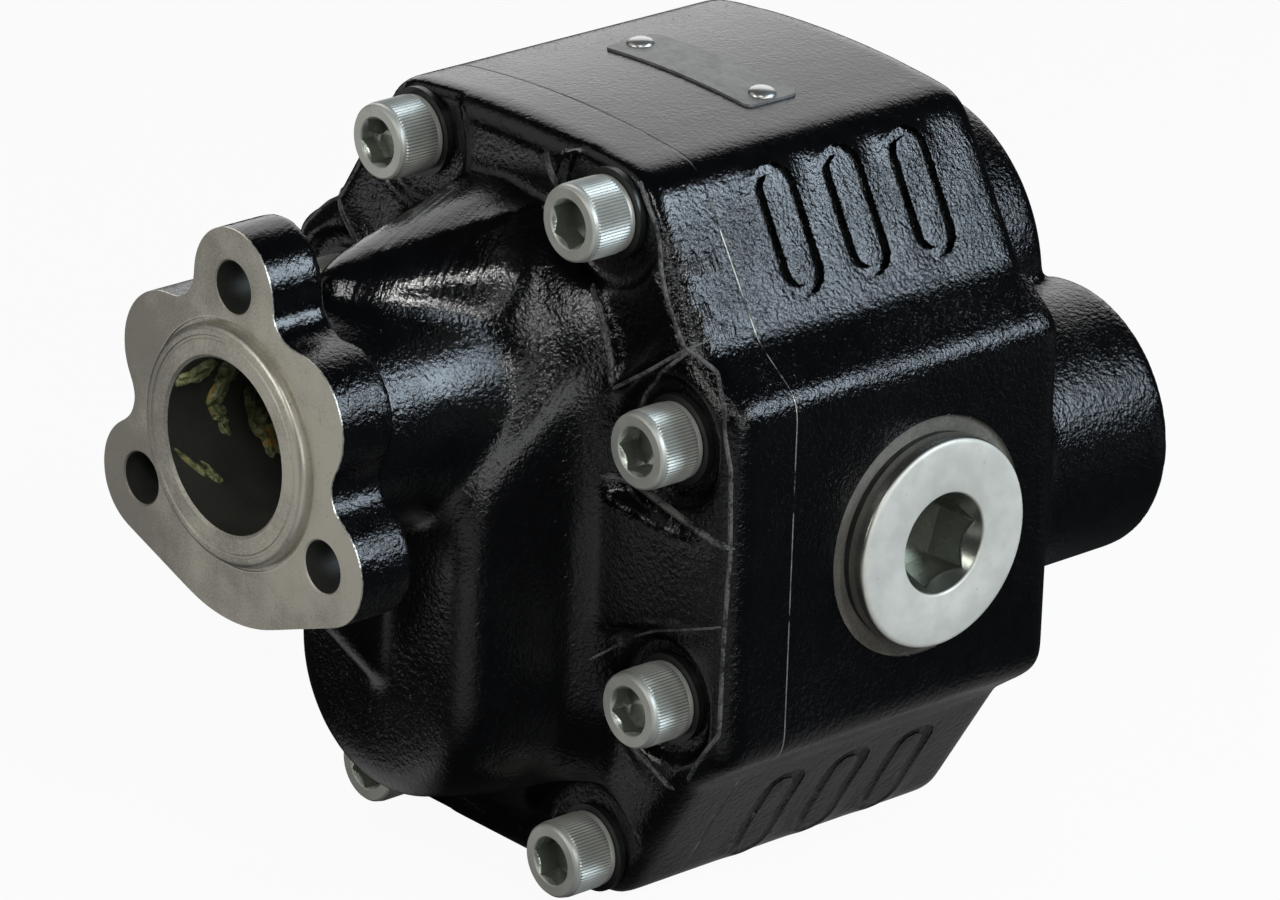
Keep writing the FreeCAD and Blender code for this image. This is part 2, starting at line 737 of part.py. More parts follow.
def seal_circlip():
    outer = bearing_radius + circlip_groove_depth - seal_groove_gap
    clip = ring(outer, outer - circlip_radial_depth, circlip_start, circlip_start + circlip_thickness)
    gap = box(-circlip_gap_width / 2, circlip_gap_width / 2, circlip_start - 1,
              circlip_start + circlip_thickness + 1, 0, 2 * outer)
    return clip.cut(gap)


def cover_screws():
    screws = []
    for k, (x, z) in enumerate(screw_spots):
        place = Vector(x, screw_seat, mid_z + z)
        head = Part.makeCylinder(screw_head_radius, screw_head_height,
                                 place - Vector(0, screw_head_height, 0), along_y)
        head = head.makeChamfer(screw_head_chamfer, rim_edges(head, screw_seat - screw_head_height))
        shank = Part.makeCylinder(screw_radius, screw_length + 1, place - Vector(0, 1, 0), along_y)
        socket = hexagon_prism(screw_socket_flats, screw_socket_depth + 1,
                               place - Vector(0, screw_head_height + 1, 0), along_y, 25.0 * k)
        screws.append(join(head, shank).cut(socket))
    return Part.makeCompound(screws)


def screw_washers():
    inner = screw_radius + screw_hole_clearance / 2
    return Part.makeCompound([
        ring(washer_radius, inner, seat_face - washer_thickness, seat_face, x, mid_z + z)
        for x, z in screw_spots])


def dowel_pins():
    pins = []
    for side in (-1, 1):
        pin = cylinder(dowel_radius, cover_face - dowel_length / 2, cover_face + dowel_length / 2,
                       side * dowel_x, mid_z)
        ends = rim_edges(pin, cover_face - dowel_length / 2) + rim_edges(pin, cover_face + dowel_length / 2)
        pins.append(pin.makeChamfer(journal_chamfer / 2, ends))
    return Part.makeCompound(pins)


def port_plug():
    """Hex-socket plug of the right side port, with a collar and a deep mouth."""
    along_x = Vector(1, 0, 0)
    under = Vector(case_half_width - spotface_depth + plug_seal_thickness, side_port_y, mid_z)
    collar = Part.makeCylinder(plug_collar_radius, plug_collar_thickness, under, along_x)
    outer_edge = [e for e in collar.Edges if all(v.X > under.x + 1 for v in e.Vertexes)]
    collar = collar.makeChamfer(plug_collar_chamfer, outer_edge[:1])
    thread_radius = port_thread_radius - plug_thread_clearance
    thread = Part.makeCylinder(thread_radius, plug_thread_length, under - along_x * plug_thread_length, along_x)
    thread = thread.cut(Part.makeCylinder(thread_radius + 1, plug_undercut_length,
                                          under - along_x * plug_undercut_length, along_x))
    waist = Part.makeCylinder(thread_radius - plug_undercut, plug_undercut_length + 2,
                              under - along_x * (plug_undercut_length + 1), along_x)
    face = under + along_x * plug_collar_thickness
    mouth = Part.makeCone(plug_mouth_radius, plug_socket_flats / 2 - 1, plug_mouth_depth, face, along_x * -1)
    socket = hexagon_prism(plug_socket_flats, plug_socket_depth, face, along_x * -1, 12.0)
    return join(collar, thread, waist).cut([mouth, socket])


def plug_seal():
    """Bonded ring between the plug's collar and the spotface."""
    along_x = Vector(1, 0, 0)
    start = Vector(case_half_width - spotface_depth, side_port_y, mid_z)
    inner = port_thread_radius + plug_thread_clearance
    outer = Part.makeCylinder(inner + plug_seal_width, plug_seal_thickness, start, along_x)
    return outer.cut(Part.makeCylinder(inner, plug_seal_thickness, start, along_x))


def on_crown(shape, x):
    """Turns a shape made at the crown's top round to its place at x."""
    lean = math.degrees(math.asin(x / case_crown_radius))
    shape.rotate(Vector(0, 0, crown_centre_z), along_y, lean)
    return shape


def nameplate_screw_place(side):
    return nameplate_x + side * nameplate_screw_spacing / 2


def nameplate_hole(radius, depth):
    """Round bar down into the crown's top, before it is turned to its place."""
    foot = Vector(0, cover_face + nameplate_offset, case_top - depth)
    return Part.makeCylinder(radius, depth + 1, foot)


def nameplate():
    """Thin plate bent to the crown, with rounded corners and two screw holes."""
    half_y = nameplate_width / 2
    middle = cover_face + nameplate_offset
    bent = ring(case_crown_radius + nameplate_thickness, case_crown_radius, middle - half_y, middle + half_y,
                0.0, crown_centre_z)
    blank = Part.makeBox(nameplate_length, nameplate_width, 10, Vector(-nameplate_length / 2, middle - half_y,
                                                                       case_top - 5))
    corners = [e for e in blank.Edges if abs(e.Vertexes[0].Z - e.Vertexes[1].Z) > 5]
    plate = on_crown(bent.common(blank.makeFillet(nameplate_corner, corners)), nameplate_x)
    hole_radius = nameplate_screw_shank + 2 * seal_groove_gap
    return plate.cut([on_crown(nameplate_hole(hole_radius, 1), nameplate_screw_place(side)) for side in (-1, 1)])


def nameplate_screws():
    screws = []
    for side in (-1, 1):
        base = Vector(0, cover_face + nameplate_offset, case_top + nameplate_thickness)
        cap = Part.makeCone(nameplate_screw_head, nameplate_screw_head - nameplate_screw_rise, nameplate_screw_rise, base)
        shank = Part.makeCylinder(nameplate_screw_shank, nameplate_screw_length + nameplate_thickness,
                                  base - Vector(0, 0, nameplate_screw_length + nameplate_thickness - 0.2))
        screws.append(on_crown(join(cap, shank), nameplate_screw_place(side)))
    return Part.makeCompound(screws)


right_plug = port_plug()
right_seal = plug_seal()
plate_gap = axial_clearance
parts = {
    "front_cover": front_cover(),
    "pump_body": pump_body(),
    "drive_gear": drive_gear(),
    "driven_gear": driven_gear(),
    "front_drive_bush": bush(bush_start, 0.0),
    "front_driven_bush": bush(bush_start, driven_z),
    "rear_drive_bush": bush(chamber_end + axial_clearance, 0.0),
    "rear_driven_bush": bush(chamber_end + axial_clearance, driven_z),
    "front_wear_plate": wear_plate(cover_face + plate_gap, -1),
    "rear_wear_plate": wear_plate(gear_rear + plate_gap, 1),
    "front_plate_seal": plate_seal(cover_face + plate_gap),
    "rear_plate_seal": plate_seal(gear_rear + plate_gap + wear_plate_thickness - seal_cord_height),
    "housing_seal": housing_seal(),
    "outer_shaft_seal": shaft_seal(seal_shoulder + shaft_seal_gap),
    "inner_shaft_seal": shaft_seal(seal_shoulder + 2 * shaft_seal_gap + shaft_seal_width),
    "seal_circlip": seal_circlip(),
    "cover_screws": cover_screws(),
    "screw_washers": screw_washers(),
    "dowel_pins": dowel_pins(),
    "right_port_plug": right_plug,
    "left_port_plug": mirrored(right_plug),
    "right_plug_seal": right_seal,
    "left_plug_seal": mirrored(right_seal),
    "nameplate": nameplate(),
    "nameplate_screws": nameplate_screws(),
}

os.makedirs("parts", exist_ok=True)
for name, shape in parts.items():
    shape.exportStep("parts/" + name + ".step")
    print(name, "valid", shape.isValid(), "solids", len(shape.Solids), "volume", round(shape.Volume))
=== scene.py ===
"""Dresses the hydraulic gear pump and sets it in a plain studio."""

import json
import math

import bmesh
import bpy
import numpy as np
from bpy.props import FloatProperty, FloatVectorProperty, IntProperty, PointerProperty
from mathutils import Matrix, Vector


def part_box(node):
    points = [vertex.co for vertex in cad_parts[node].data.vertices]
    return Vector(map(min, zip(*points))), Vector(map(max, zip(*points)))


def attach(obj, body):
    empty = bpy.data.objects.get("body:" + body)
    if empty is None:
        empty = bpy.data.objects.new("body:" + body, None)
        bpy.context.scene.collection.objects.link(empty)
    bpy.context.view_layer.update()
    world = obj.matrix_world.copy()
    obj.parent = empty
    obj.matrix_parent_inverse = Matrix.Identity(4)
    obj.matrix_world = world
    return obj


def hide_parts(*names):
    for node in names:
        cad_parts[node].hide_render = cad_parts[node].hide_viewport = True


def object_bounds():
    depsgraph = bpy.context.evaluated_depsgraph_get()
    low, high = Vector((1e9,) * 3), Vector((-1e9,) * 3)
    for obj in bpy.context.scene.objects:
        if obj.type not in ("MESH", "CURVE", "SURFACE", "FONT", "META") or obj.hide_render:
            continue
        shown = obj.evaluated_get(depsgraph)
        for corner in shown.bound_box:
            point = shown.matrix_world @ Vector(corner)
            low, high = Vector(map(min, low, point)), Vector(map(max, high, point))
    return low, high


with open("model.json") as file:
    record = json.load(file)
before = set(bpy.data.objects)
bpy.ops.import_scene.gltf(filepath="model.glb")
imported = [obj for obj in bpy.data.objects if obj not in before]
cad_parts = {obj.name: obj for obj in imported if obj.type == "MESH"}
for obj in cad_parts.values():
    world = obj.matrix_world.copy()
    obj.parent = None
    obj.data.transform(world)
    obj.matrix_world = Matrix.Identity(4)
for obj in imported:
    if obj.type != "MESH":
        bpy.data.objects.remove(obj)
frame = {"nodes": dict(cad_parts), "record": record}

bl_info = {
    "name": "Hydraulic gear pump",
    "version": (1, 0, 0),
    "blender": (4, 5, 0),
    "location": "View3D > Sidebar > Pump",
    "description": "Cast skins, screws, plugs, plate, seals and studio of a hydraulic gear pump",
    "category": "Object",
}

MM = 0.001
X_AXIS, Y_AXIS, Z_AXIS = (1, 0, 0), (0, 1, 0), (0, 0, 1)
CAD_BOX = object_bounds()
MOUNTS = {mount["name"]: mount for mount in frame["record"]["mounts"]}


def mount_radius(name, key="r_mm"):
    return MOUNTS[name]["dims"][key] * MM


def node_size(node):
    low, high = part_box(node)
    return high - low


# Places and sizes that the CAD gives
PARTING_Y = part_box("front_cover")[1].y
GEAR_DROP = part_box("front_driven_bush")[0].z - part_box("front_drive_bush")[0].z
MIDDLE_Z = GEAR_DROP / 2
SIDE_PORT_Y = (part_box("right_port_plug")[0].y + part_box("right_port_plug")[1].y) / 2
SIDE_SEAT_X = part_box("right_plug_seal")[0].x
SEAL_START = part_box("outer_shaft_seal")[0].y - 0.2 * MM
DRIVEN_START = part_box("driven_gear")[0].y - MM
SCREW_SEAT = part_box("screw_washers")[1].y
FLANGE_RADIUS = mount_radius("flange_bolts", "pcd_mm") / 2
BOLT_RADIUS = mount_radius("flange_bolts", "hole_r_mm")
SPIGOT_RADIUS = mount_radius("spigot")
PORT_RADIUS = mount_radius("right_rear_port")
REAR_PORT_X = Vector(MOUNTS["right_rear_port"]["pos_m"]).x
BUSH_RADIUS = node_size("front_drive_bush").x / 2 + 0.01 * MM

# Sizes of the castings that no box gives
DOWEL_X = 60 * MM
OIL_WAY_X, OIL_WAY_RADIUS = 45 * MM, 13 * MM
SIDE_SEAT_RADIUS = 28.3 * MM
CROWN_RADIUS = 280 * MM
# Corners of the case's outline, in millimetres from its middle
TOP_HALF_WIDTH, CORNER_HEIGHT = 41.8, 87.2
WAIST_HALF_WIDTH, WAIST_HEIGHT = 63.7, 52.0


def length(name, about, default, **limits):
    return FloatProperty(name=name, description=about, default=default * MM, unit="LENGTH", **limits)


def tint(name, about, default):
    return FloatVectorProperty(name=name, description=about, subtype="COLOR", size=3, default=default, min=0, max=1)


def turn(name, about, degrees):
    return FloatProperty(name=name, description=about, subtype="ANGLE", default=math.radians(degrees))


class PumpCastings(bpy.types.PropertyGroup):
    voxel: length("Voxel", "Edge of the voxels that the cast skins are made of", 1.1, min=0.5 * MM, max=3 * MM)
    cover_rounds: IntProperty(name="Cover rounds", description="Rounds of softening of the front cover", default=40)
    body_rounds: IntProperty(name="Body rounds", description="Rounds of softening of the pump body", default=5)
    allowance: length("Allowance", "Stock left on the castings before they are machined", 3)
    bore_radius: length("Bore radius", "Radius of the bore in the flange", 20)
    hole_chamfer: length("Hole chamfer", "Chamfer at the mouths of the bolt holes", 0.35)
    enamel: tint("Enamel", "Colour of the black enamel", (0.0017, 0.0019, 0.0024))
    bare_iron: tint("Bare iron", "Colour of the machined iron", (0.66, 0.635, 0.555))
    skin_bumps: length("Skin bumps", "Height of the bumps of the cast skin", 0.26)


class PumpFasteners(bpy.types.PropertyGroup):
    ridges: IntProperty(name="Ridges", description="Ridges of the knurl round a screw head", default=72)
    ridge_height: length("Ridge height", "Height of a ridge of the knurl", 0.28)
    head_radius: length("Head radius", "Radius of a cover screw's head", 8.95)
    socket_flats: length("Socket", "Width across the flats of a screw's socket", 10)
    socket_depth: length("Socket depth", "Depth of a screw's socket", 6)
    zinc: tint("Screw zinc", "Colour of the zinc on the screws", (0.74, 0.76, 0.70))


class PumpPlugs(bpy.types.PropertyGroup):
    collar_radius: length("Collar radius", "Radius of a plug's collar", 24.75)
    mouth_radius: length("Mouth radius", "Radius of the cone at a plug's mouth", 12.2)
    socket_flats: length("Socket", "Width across the flats of a plug's socket", 19)
    socket_turn: turn("Socket turn", "Turn of the six-sided socket", 12)
    zinc: tint("Plug zinc", "Colour of the bright zinc on the plugs", (0.98, 0.98, 0.89))


class PumpStage(bpy.types.PropertyGroup):
    camera_place: FloatVectorProperty(name="Camera place", description="Where the camera stands",
                                      subtype="TRANSLATION", unit="LENGTH", size=3,
                                      default=(1.19598, -0.96005, 0.62513))
    camera_azimuth: turn("Azimuth", "Turn of the camera round the pump", 47.926)
    camera_elevation: turn("Elevation", "Height of the camera as an angle", 22.152)
    camera_roll: turn("Roll", "Roll of the camera about its own axis", 1.83)
    lens: FloatProperty(name="Lens", description="Focal length of the lens on a 36 mm wide frame, in millimetres",
                        default=214.15)
    floor: tint("Floor", "Colour of the floor", (0.05, 0.05, 0.05))


class Value:
    """A socket of a shader that can be used in a sum."""

    def __init__(self, finish, socket):
        self.finish = finish
        self.socket = socket

    def sum(self, operation, *values):
        return self.finish.node("Math", {"operation": operation}, dict(enumerate(values)))

    def __add__(self, other):
        return self.sum("ADD", self, other)

    __radd__ = __add__

    def __sub__(self, other):
        return self.sum("SUBTRACT", self, other)

    def __rsub__(self, other):
        return self.sum("SUBTRACT", other, self)

    def __mul__(self, other):
        return self.sum("MULTIPLY", self, other)

    def __pow__(self, other):
        return self.sum("POWER", self, other)

    def above(self, other):
        return self.sum("MAXIMUM", self, other)

    def size(self):
        return self.sum("ABSOLUTE", self)

    def root(self):
        return self.sum("SQRT", self)

    def step(self, start, end):
        """Rises smoothly from 0 at start to 1 at end."""
        settings = {"interpolation_type": "SMOOTHSTEP", "clamp": True}
        return self.finish.node("MapRange", settings, {"Value": self, "From Min": start, "From Max": end})

    def fall(self, start, end):
        """Falls smoothly from 1 at start to 0 at end."""
        return 1 - self.step(start, end)


class Finish:
    """A procedural material, or the world, built from nodes."""

    def __init__(self, name, world=None):
        self.material = world or bpy.data.materials.new(name)
        self.material.use_nodes = True
        self.tree = self.material.node_tree
        self.tree.nodes.clear()
        self.cache = {}

    def node(self, kind, settings=None, inputs=None, output=0):
        """Adds a node: its settings first, then the values or links of its sockets."""
        made = self.tree.nodes.new("ShaderNode" + kind)
        for key, value in (settings or {}).items():
            setattr(made, key, value)
        for key, value in (inputs or {}).items():
            if isinstance(value, Value):
                self.tree.links.new(value.socket, made.inputs[key])
            else:
                made.inputs[key].default_value = value
        return Value(self, made.outputs[output]) if made.outputs else None

    def place(self):
        """The point in the pump's own frame, in metres."""
        if "place" not in self.cache:
            self.cache["place"] = self.node("TexCoord", output="Object")
        return self.cache["place"]

    def axis(self, letter):
        if letter not in self.cache:
            self.cache[letter] = self.node("SeparateXYZ", {}, {0: self.place()}, output=letter)
        return self.cache[letter]

    def noise(self, grain, detail=3.0, rough=0.55, stretch=None, warp=0.0):
        """Soft random values, one grain wide in metres, stretched along an axis if asked."""
        where = self.place()
        if stretch:
            where = self.node("Mapping", {}, {"Vector": where, "Scale": stretch})
        inputs = {"Vector": where, "Scale": 1 / grain, "Detail": detail, "Roughness": rough, "Distortion": warp}
        return self.node("TexNoise", {}, inputs)

    def stripes(self, value, grain, detail=1.0):
        """Soft random stripes across a value, one grain wide in metres."""
        inputs = {"W": value, "Scale": 1 / grain, "Detail": detail}
        return self.node("TexNoise", {"noise_dimensions": "1D"}, inputs)

    def cells(self, grain):
        """Distance to the nearest of many scattered points, one grain apart in metres."""
        return self.node("TexVoronoi", {}, {"Vector": self.place(), "Scale": 1 / grain})

    def attribute(self, name):
        """A value that the mesh carries at its points."""
        return self.node("Attribute", {"attribute_name": name}, output="Fac")

    def mix(self, share, first, second):
        """A colour between two, by a share."""
        inputs = {0: share}
        for key, value in ((6, first), (7, second)):
            inputs[key] = value if isinstance(value, Value) else (*value, 1)
        return self.node("Mix", {"data_type": "RGBA"}, inputs, output=2)

    def bump(self, height, depth):
        return self.node("Bump", {}, {"Height": height, "Distance": depth, "Strength": 1.0})

    def surface(self, **sockets):
        inputs = {key.replace("_", " "): value for key, value in sockets.items()}
        shader = self.node("BsdfPrincipled", {}, inputs)
        self.node("OutputMaterial", {}, {"Surface": shader})
        return self.material


def scaled(colour, share):
    return tuple(c * share for c in colour)


def enamel_finish(colour, iron, bumps):
    """Gloss black enamel on a cast skin, worn to the iron at the flange's rim; on the right side the bare iron on the
    parting line is partly wear and partly a painted highlight.
    """
    f = Finish("black_enamel")
    x, y, z = f.axis("X"), f.axis("Y"), f.axis("Z")
    coarse = f.noise(5 * MM, 2.0)
    skin = f.noise(1.35 * MM, 3.0, 0.6)
    peel = 1 - f.cells(1.25 * MM)
    fine = f.noise(0.75 * MM, 2.0, 0.6)
    patch = f.noise(16 * MM, 2.0).step(0.38, 0.62)
    crown = z.step(44 * MM, 53 * MM)
    tower = y.step(30 * MM, 40 * MM) * y.fall(76 * MM, 79 * MM)
    neck = (x ** 2 + z ** 2).root().fall(31 * MM, 36 * MM) * y.step(16 * MM, 18 * MM) * y.fall(38 * MM, 44 * MM)
    height = skin * (patch * 0.5 + 0.75) + peel * 0.2 + fine * 0.5 + coarse * 0.35
    height = height * (1 - (crown * 0.55 + tower * 0.35)) * (1 - neck * 0.2)
    pits = f.cells(3.3 * MM).step(0.03, 0.17)
    height = height + pits * 0.22
    # Scored marks on the right slope of the cover's plate
    slope = x.step(50 * MM, 54 * MM) * y.fall(91 * MM, 94 * MM) * z.step(20 * MM, 30 * MM)
    scored = slope * f.noise(9 * MM, 2.0).step(0.5, 0.6)
    height = height + f.stripes(y, 0.75 * MM) * scored * 1.2
    # Long swirls on the web above the neck
    swept = z.step(24 * MM, 28 * MM) * x.size().fall(14 * MM, 20 * MM) * y.fall(66 * MM, 72 * MM)
    swirl = f.stripes(x * 0.94 + y * 0.33, 1.1 * MM)
    height = height * (1 - swept * 0.5) + swirl * swept * 0.28
    seam = (y - PARTING_Y + 0.05 * MM).size()
    normal = f.bump(height * (bumps / MM) + seam.step(0.05 * MM, 0.3 * MM) * 0.12, MM)
    ragged = f.noise(1.1 * MM, 3.0, 0.6)
    rim = (y + (ragged - 0.5) * 0.8 * MM).fall(0.2 * MM, 0.5 * MM)
    # Bare iron on the parting line, on the right side only (x above 44 mm): partly wear, partly a painted highlight
    # where the line catches the light.
    seam_wear_and_highlight = f.noise(7 * MM, 4.0, 0.6).step(0.40, 0.56) * x.step(44 * MM, 52 * MM)
    bare_and_painted_light = rim.above(seam.fall(0.06 * MM, 0.2 * MM) * seam_wear_and_highlight)
    grime = f.noise(5 * MM, 3.0).step(0.3, 0.8)
    paint = f.mix(grime, colour, scaled(colour, 1.8))
    shine = 0.09 + f.noise(3 * MM, 3.0) * 0.09 + (1 - pits) * 0.12
    return f.surface(Base_Color=f.mix(bare_and_painted_light, paint, iron), Roughness=shine + bare_and_painted_light * 0.2, Metallic=bare_and_painted_light * 0.7,
                     IOR=1.5, Normal=normal)


def iron_finish(name, colour, rough=0.4, metal=0.75, painted_light_x=0.0):
    """Machined cast iron: fine grain, faint turning marks, small dark pores; it can be given painted light that grows
    brighter towards +X.
    """
    f = Finish(name)
    radius = (f.axis("X") ** 2 + f.axis("Z") ** 2).root()
    grain = f.noise(0.55 * MM, 3.0, 0.65)
    cloud = f.noise(8 * MM, 3.0)
    broad = f.noise(26 * MM, 2.0)
    pores = f.cells(1.7 * MM).fall(0.04, 0.15)
    scratches = f.noise(2.2 * MM, 4.0, 0.7, stretch=(0.5, 1.0, 3.5), warp=1.2).step(0.66, 0.72)
    # Painted light: the tone rises towards +X, so the side where more light falls is lighter.
    tone = (cloud * 0.25 + grain * 0.35 + broad * 0.4 + f.axis("X") * painted_light_x).step(0.36, 0.62)
    face = f.mix(tone, scaled(colour, 0.5), colour)
    face = f.mix(scratches * 0.35, face, scaled(colour, 0.3))
    face = f.mix(pores * 0.55, face, scaled(colour, 0.25))
    ring = radius.step(26 * MM, 26.5 * MM) * radius.fall(28.7 * MM, 29 * MM) * f.axis("Y").fall(0, MM)
    return f.surface(Base_Color=face, Roughness=rough - ring * 0.18 + grain * 0.2 + broad * 0.15 + pores * 0.1,
                     Metallic=metal, Normal=f.bump(grain + f.stripes(radius, 0.35 * MM, 2.0) * 0.6, 0.03 * MM))


def zinc_finish(name, colour, scratch=0.35, rough=0.36, metal=0.85, bare_and_painted_light=0.8):
    """Zinc plate: pale and satin, with clouds, scratches and specks; sockets get more metal and a painted shade, and
    marked places, the knurl's valleys and a plug's collar, get a painted shade with more gloss and metal.
    """
    f = Finish(name)
    cloud = f.noise(6 * MM, 3.0)
    fine = f.noise(0.45 * MM, 3.0, 0.6)
    lines = f.noise(1.4 * MM, 4.0, 0.7, stretch=(0.6, 3.0, 2.2), warp=1.5)
    scuffs = lines.step(0.64, 0.72)
    specks = f.cells(4.3 * MM).fall(0.02, 0.07)
    socket, painted_shade = f.attribute("socket"), f.attribute("painted_shade")
    tone = f.mix(cloud.step(0.3, 0.75), scaled(colour, 0.86), colour)
    tone = f.mix(scuffs * scratch, tone, scaled(colour, 0.55))
    tone = f.mix(specks * 0.5, tone, scaled(colour, 0.25))
    # Painted shade in the socket: it keeps only a share of the colour, 0.8 on the screws and 0.3 on the plugs.
    tone = f.mix(socket, tone, tuple(c * s * bare_and_painted_light for c, s in zip(colour, (0.94, 1.0, 0.95))))
    # Painted shade where the points are marked: in the knurl's valleys and on the plugs' collars.
    tone = f.mix(painted_shade, tone, scaled(colour, 0.32))
    return f.surface(Base_Color=tone, Roughness=rough + cloud * 0.14 - scuffs * 0.05 - (socket + painted_shade) * 0.14,
                     Metallic=(metal + socket * (0.9 - metal)).above(painted_shade),
                     Normal=f.bump(fine + lines * 0.5, 0.014 * MM))


def worn_and_highlit_finish(paint):
    """Rubbed enamel on thin ridges, grey, dull and speckled: partly rubbed paint, partly a painted highlight where the
    ridges catch the light.
    """
    f = Finish("worn_and_highlit_enamel")
    specks = f.noise(0.7 * MM, 3.0, 0.65)
    share = (specks * 0.5 + f.noise(7 * MM, 3.0) * 0.5).step(0.42, 0.56)
    tone = f.mix(share, scaled(paint, 6), (0.16, 0.16, 0.155))
    return f.surface(Base_Color=tone, Roughness=0.3 + specks * 0.3, Normal=f.bump(specks, 0.3 * MM))


def steel_finish(name, colour, rough=0.28):
    """Ground steel with fine marks across its length."""
    f = Finish(name)
    marks = f.noise(0.5 * MM, 3.0, 0.6, stretch=(1.0, 0.12, 1.0))
    tone = f.mix(f.noise(8 * MM, 2.0).step(0.3, 0.7), scaled(colour, 0.8), colour)
    return f.surface(Base_Color=tone, Roughness=rough + marks * 0.18, Metallic=1.0,
                     Normal=f.bump(marks, 0.01 * MM))


def rubber_finish():
    """Moulded seal rubber with a light bloom."""
    f = Finish("seal_rubber")
    bloom = f.noise(3 * MM, 3.0)
    tone = f.mix(bloom.step(0.4, 0.8), (0.016, 0.016, 0.016), (0.045, 0.045, 0.043))
    return f.surface(Base_Color=tone, Roughness=0.55 + bloom * 0.2, Normal=f.bump(f.noise(0.3 * MM, 2.0), 0.02 * MM))


def plate_finish():
    """Bare satin nameplate, rubbed along its length."""
    f = Finish("nameplate_satin")
    rub = f.noise(0.5 * MM, 4.0, 0.65, stretch=(0.15, 1.0, 1.0))
    share = (rub * 0.6 + f.noise(5 * MM, 3.0) * 0.4).step(0.32, 0.68)
    tone = f.mix(share, (0.18, 0.182, 0.18), (0.34, 0.34, 0.335))
    return f.surface(Base_Color=tone, Roughness=0.42 + rub * 0.2, Metallic=0.6, Normal=f.bump(rub, 0.012 * MM))


def grease_finish():
    """Old grease: yellow green, glossy, clouded."""
    f = Finish("old_grease")
    cloud = f.noise(2.5 * MM, 4.0, 0.65, warp=1.0)
    folds = f.noise(1.0 * MM, 3.0, 0.6, warp=1.5)
    amber = f.noise(6 * MM, 2.0).step(0.56, 0.64)
    tone = f.mix(cloud.step(0.35, 0.65), (0.10, 0.12, 0.035), (0.50, 0.52, 0.26))
    tone = f.mix(amber * 0.8, tone, (0.62, 0.34, 0.05))
    return f.surface(Base_Color=tone, Roughness=0.22 + cloud * 0.2, Normal=f.bump(folds + cloud, 0.35 * MM))


def coat(mesh, *materials):
    """Gives the mesh these materials and no others."""
    mesh.materials.clear()
    for material in materials:
        mesh.materials.append(material)


def new_piece(name, mesh, *materials):
    coat(mesh, *materials)
    piece = bpy.data.objects.new(name, mesh)
    bpy.context.scene.collection.objects.link(piece)
    return piece


def settle(piece):
    """Applies the piece's modifiers and takes them off."""
    bpy.context.view_layer.update()
    graph = bpy.context.evaluated_depsgraph_get()
    mesh = bpy.data.meshes.new_from_object(piece.evaluated_get(graph), preserve_all_data_layers=True,
                                           depsgraph=graph)
    piece.modifiers.clear()
    piece.data = mesh
    return piece


def drop(piece):
    bpy.data.objects.remove(piece)


def shade_by_angle(mesh, degrees):
    mesh.polygons.foreach_set("use_smooth", [True] * len(mesh.polygons))
    mesh.set_sharp_from_angle(angle=math.radians(degrees))


def vectors(items, key):
    """One vector of each item, as the rows of an array."""
    values = np.empty(len(items) * 3, np.float32)
    items.foreach_get(key, values)
    return values.reshape(-1, 3)


def mark(mesh, name, values):
    """Keeps a value for each point of the mesh."""
    mesh.attributes.new(name, "FLOAT", "POINT").data.foreach_set("value", values.astype(np.float32))


def to_mesh(shape, name):
    mesh = bpy.data.meshes.new(name)
    shape.to_mesh(mesh)
    shape.free()
    return mesh


def merged_mesh(node):
    """A copy of a CAD node's mesh with its loose triangles joined."""
    shape = bmesh.new()
    shape.from_mesh(frame["nodes"][node].data)
    bmesh.ops.remove_doubles(shape, verts=shape.verts, dist=0.001 * MM)
    return to_mesh(shape, node + "_copy")


def shell(rows, loop=False):
    """A closed mesh through rows of points: a row of one point is a tip, any other end row gets a cap."""
    shape = bmesh.new()
    rows = [[shape.verts.new(point) for point in row] for row in rows]
    for lower, upper in zip(rows, rows[1:] + rows[:1] * loop):
        count = max(len(lower), len(upper))
        for k in range(count):
            after = (k + 1) % count
            corners = (lower[k % len(lower)], lower[after % len(lower)], upper[after % len(upper)],
                       upper[k % len(upper)])
            shape.faces.new(tuple(dict.fromkeys(corners)))
    for end in (rows[0], rows[-1]):
        if len(end) > 1 and not loop:
            shape.faces.new(end)
    bmesh.ops.recalc_face_normals(shape, faces=shape.faces)
    return to_mesh(shape, "shell")


def lathe(rings, axis, segments, loop=False):
    """A turned shape: each ring is (distance along the axis, radius or radius by angle)."""
    rows = []
    for distance, radius in rings:
        if not callable(radius) and radius == 0:
            rows.append([(0, 0, distance)])
            continue
        row = []
        for k in range(segments):
            angle = 2 * math.pi * k / segments
            r = radius(angle) if callable(radius) else radius
            row.append((r * math.cos(angle), r * math.sin(angle), distance))
        rows.append(row)
    mesh = shell(rows, loop)
    mesh.transform(Vector(axis).to_track_quat("Z", "Y").to_matrix().to_4x4())
    return mesh


def bar(radius, start, end, axis=Y_AXIS, centre=(0, 0, 0), segments=96, end_radius=None):
    """A round bar, or a cone, from start to end along an axis through the centre."""
    last = radius if end_radius is None else end_radius
    mesh = lathe([(start, 0), (start, radius), (end, last), (end, 0)], axis, segments)
    mesh.transform(Matrix.Translation(centre))
    return mesh


def block(low, high):
    shape = bmesh.new()
    size = Vector(high) - Vector(low)
    matrix = Matrix.Translation((Vector(low) + Vector(high)) / 2) @ Matrix.Diagonal((*size, 1))
    bmesh.ops.create_cube(shape, size=1, matrix=matrix)
    return to_mesh(shape, "block")


def together(meshes, name):
    """Several closed meshes as one."""
    shape = bmesh.new()
    for mesh in meshes:
        shape.from_mesh(mesh)
    return to_mesh(shape, name)


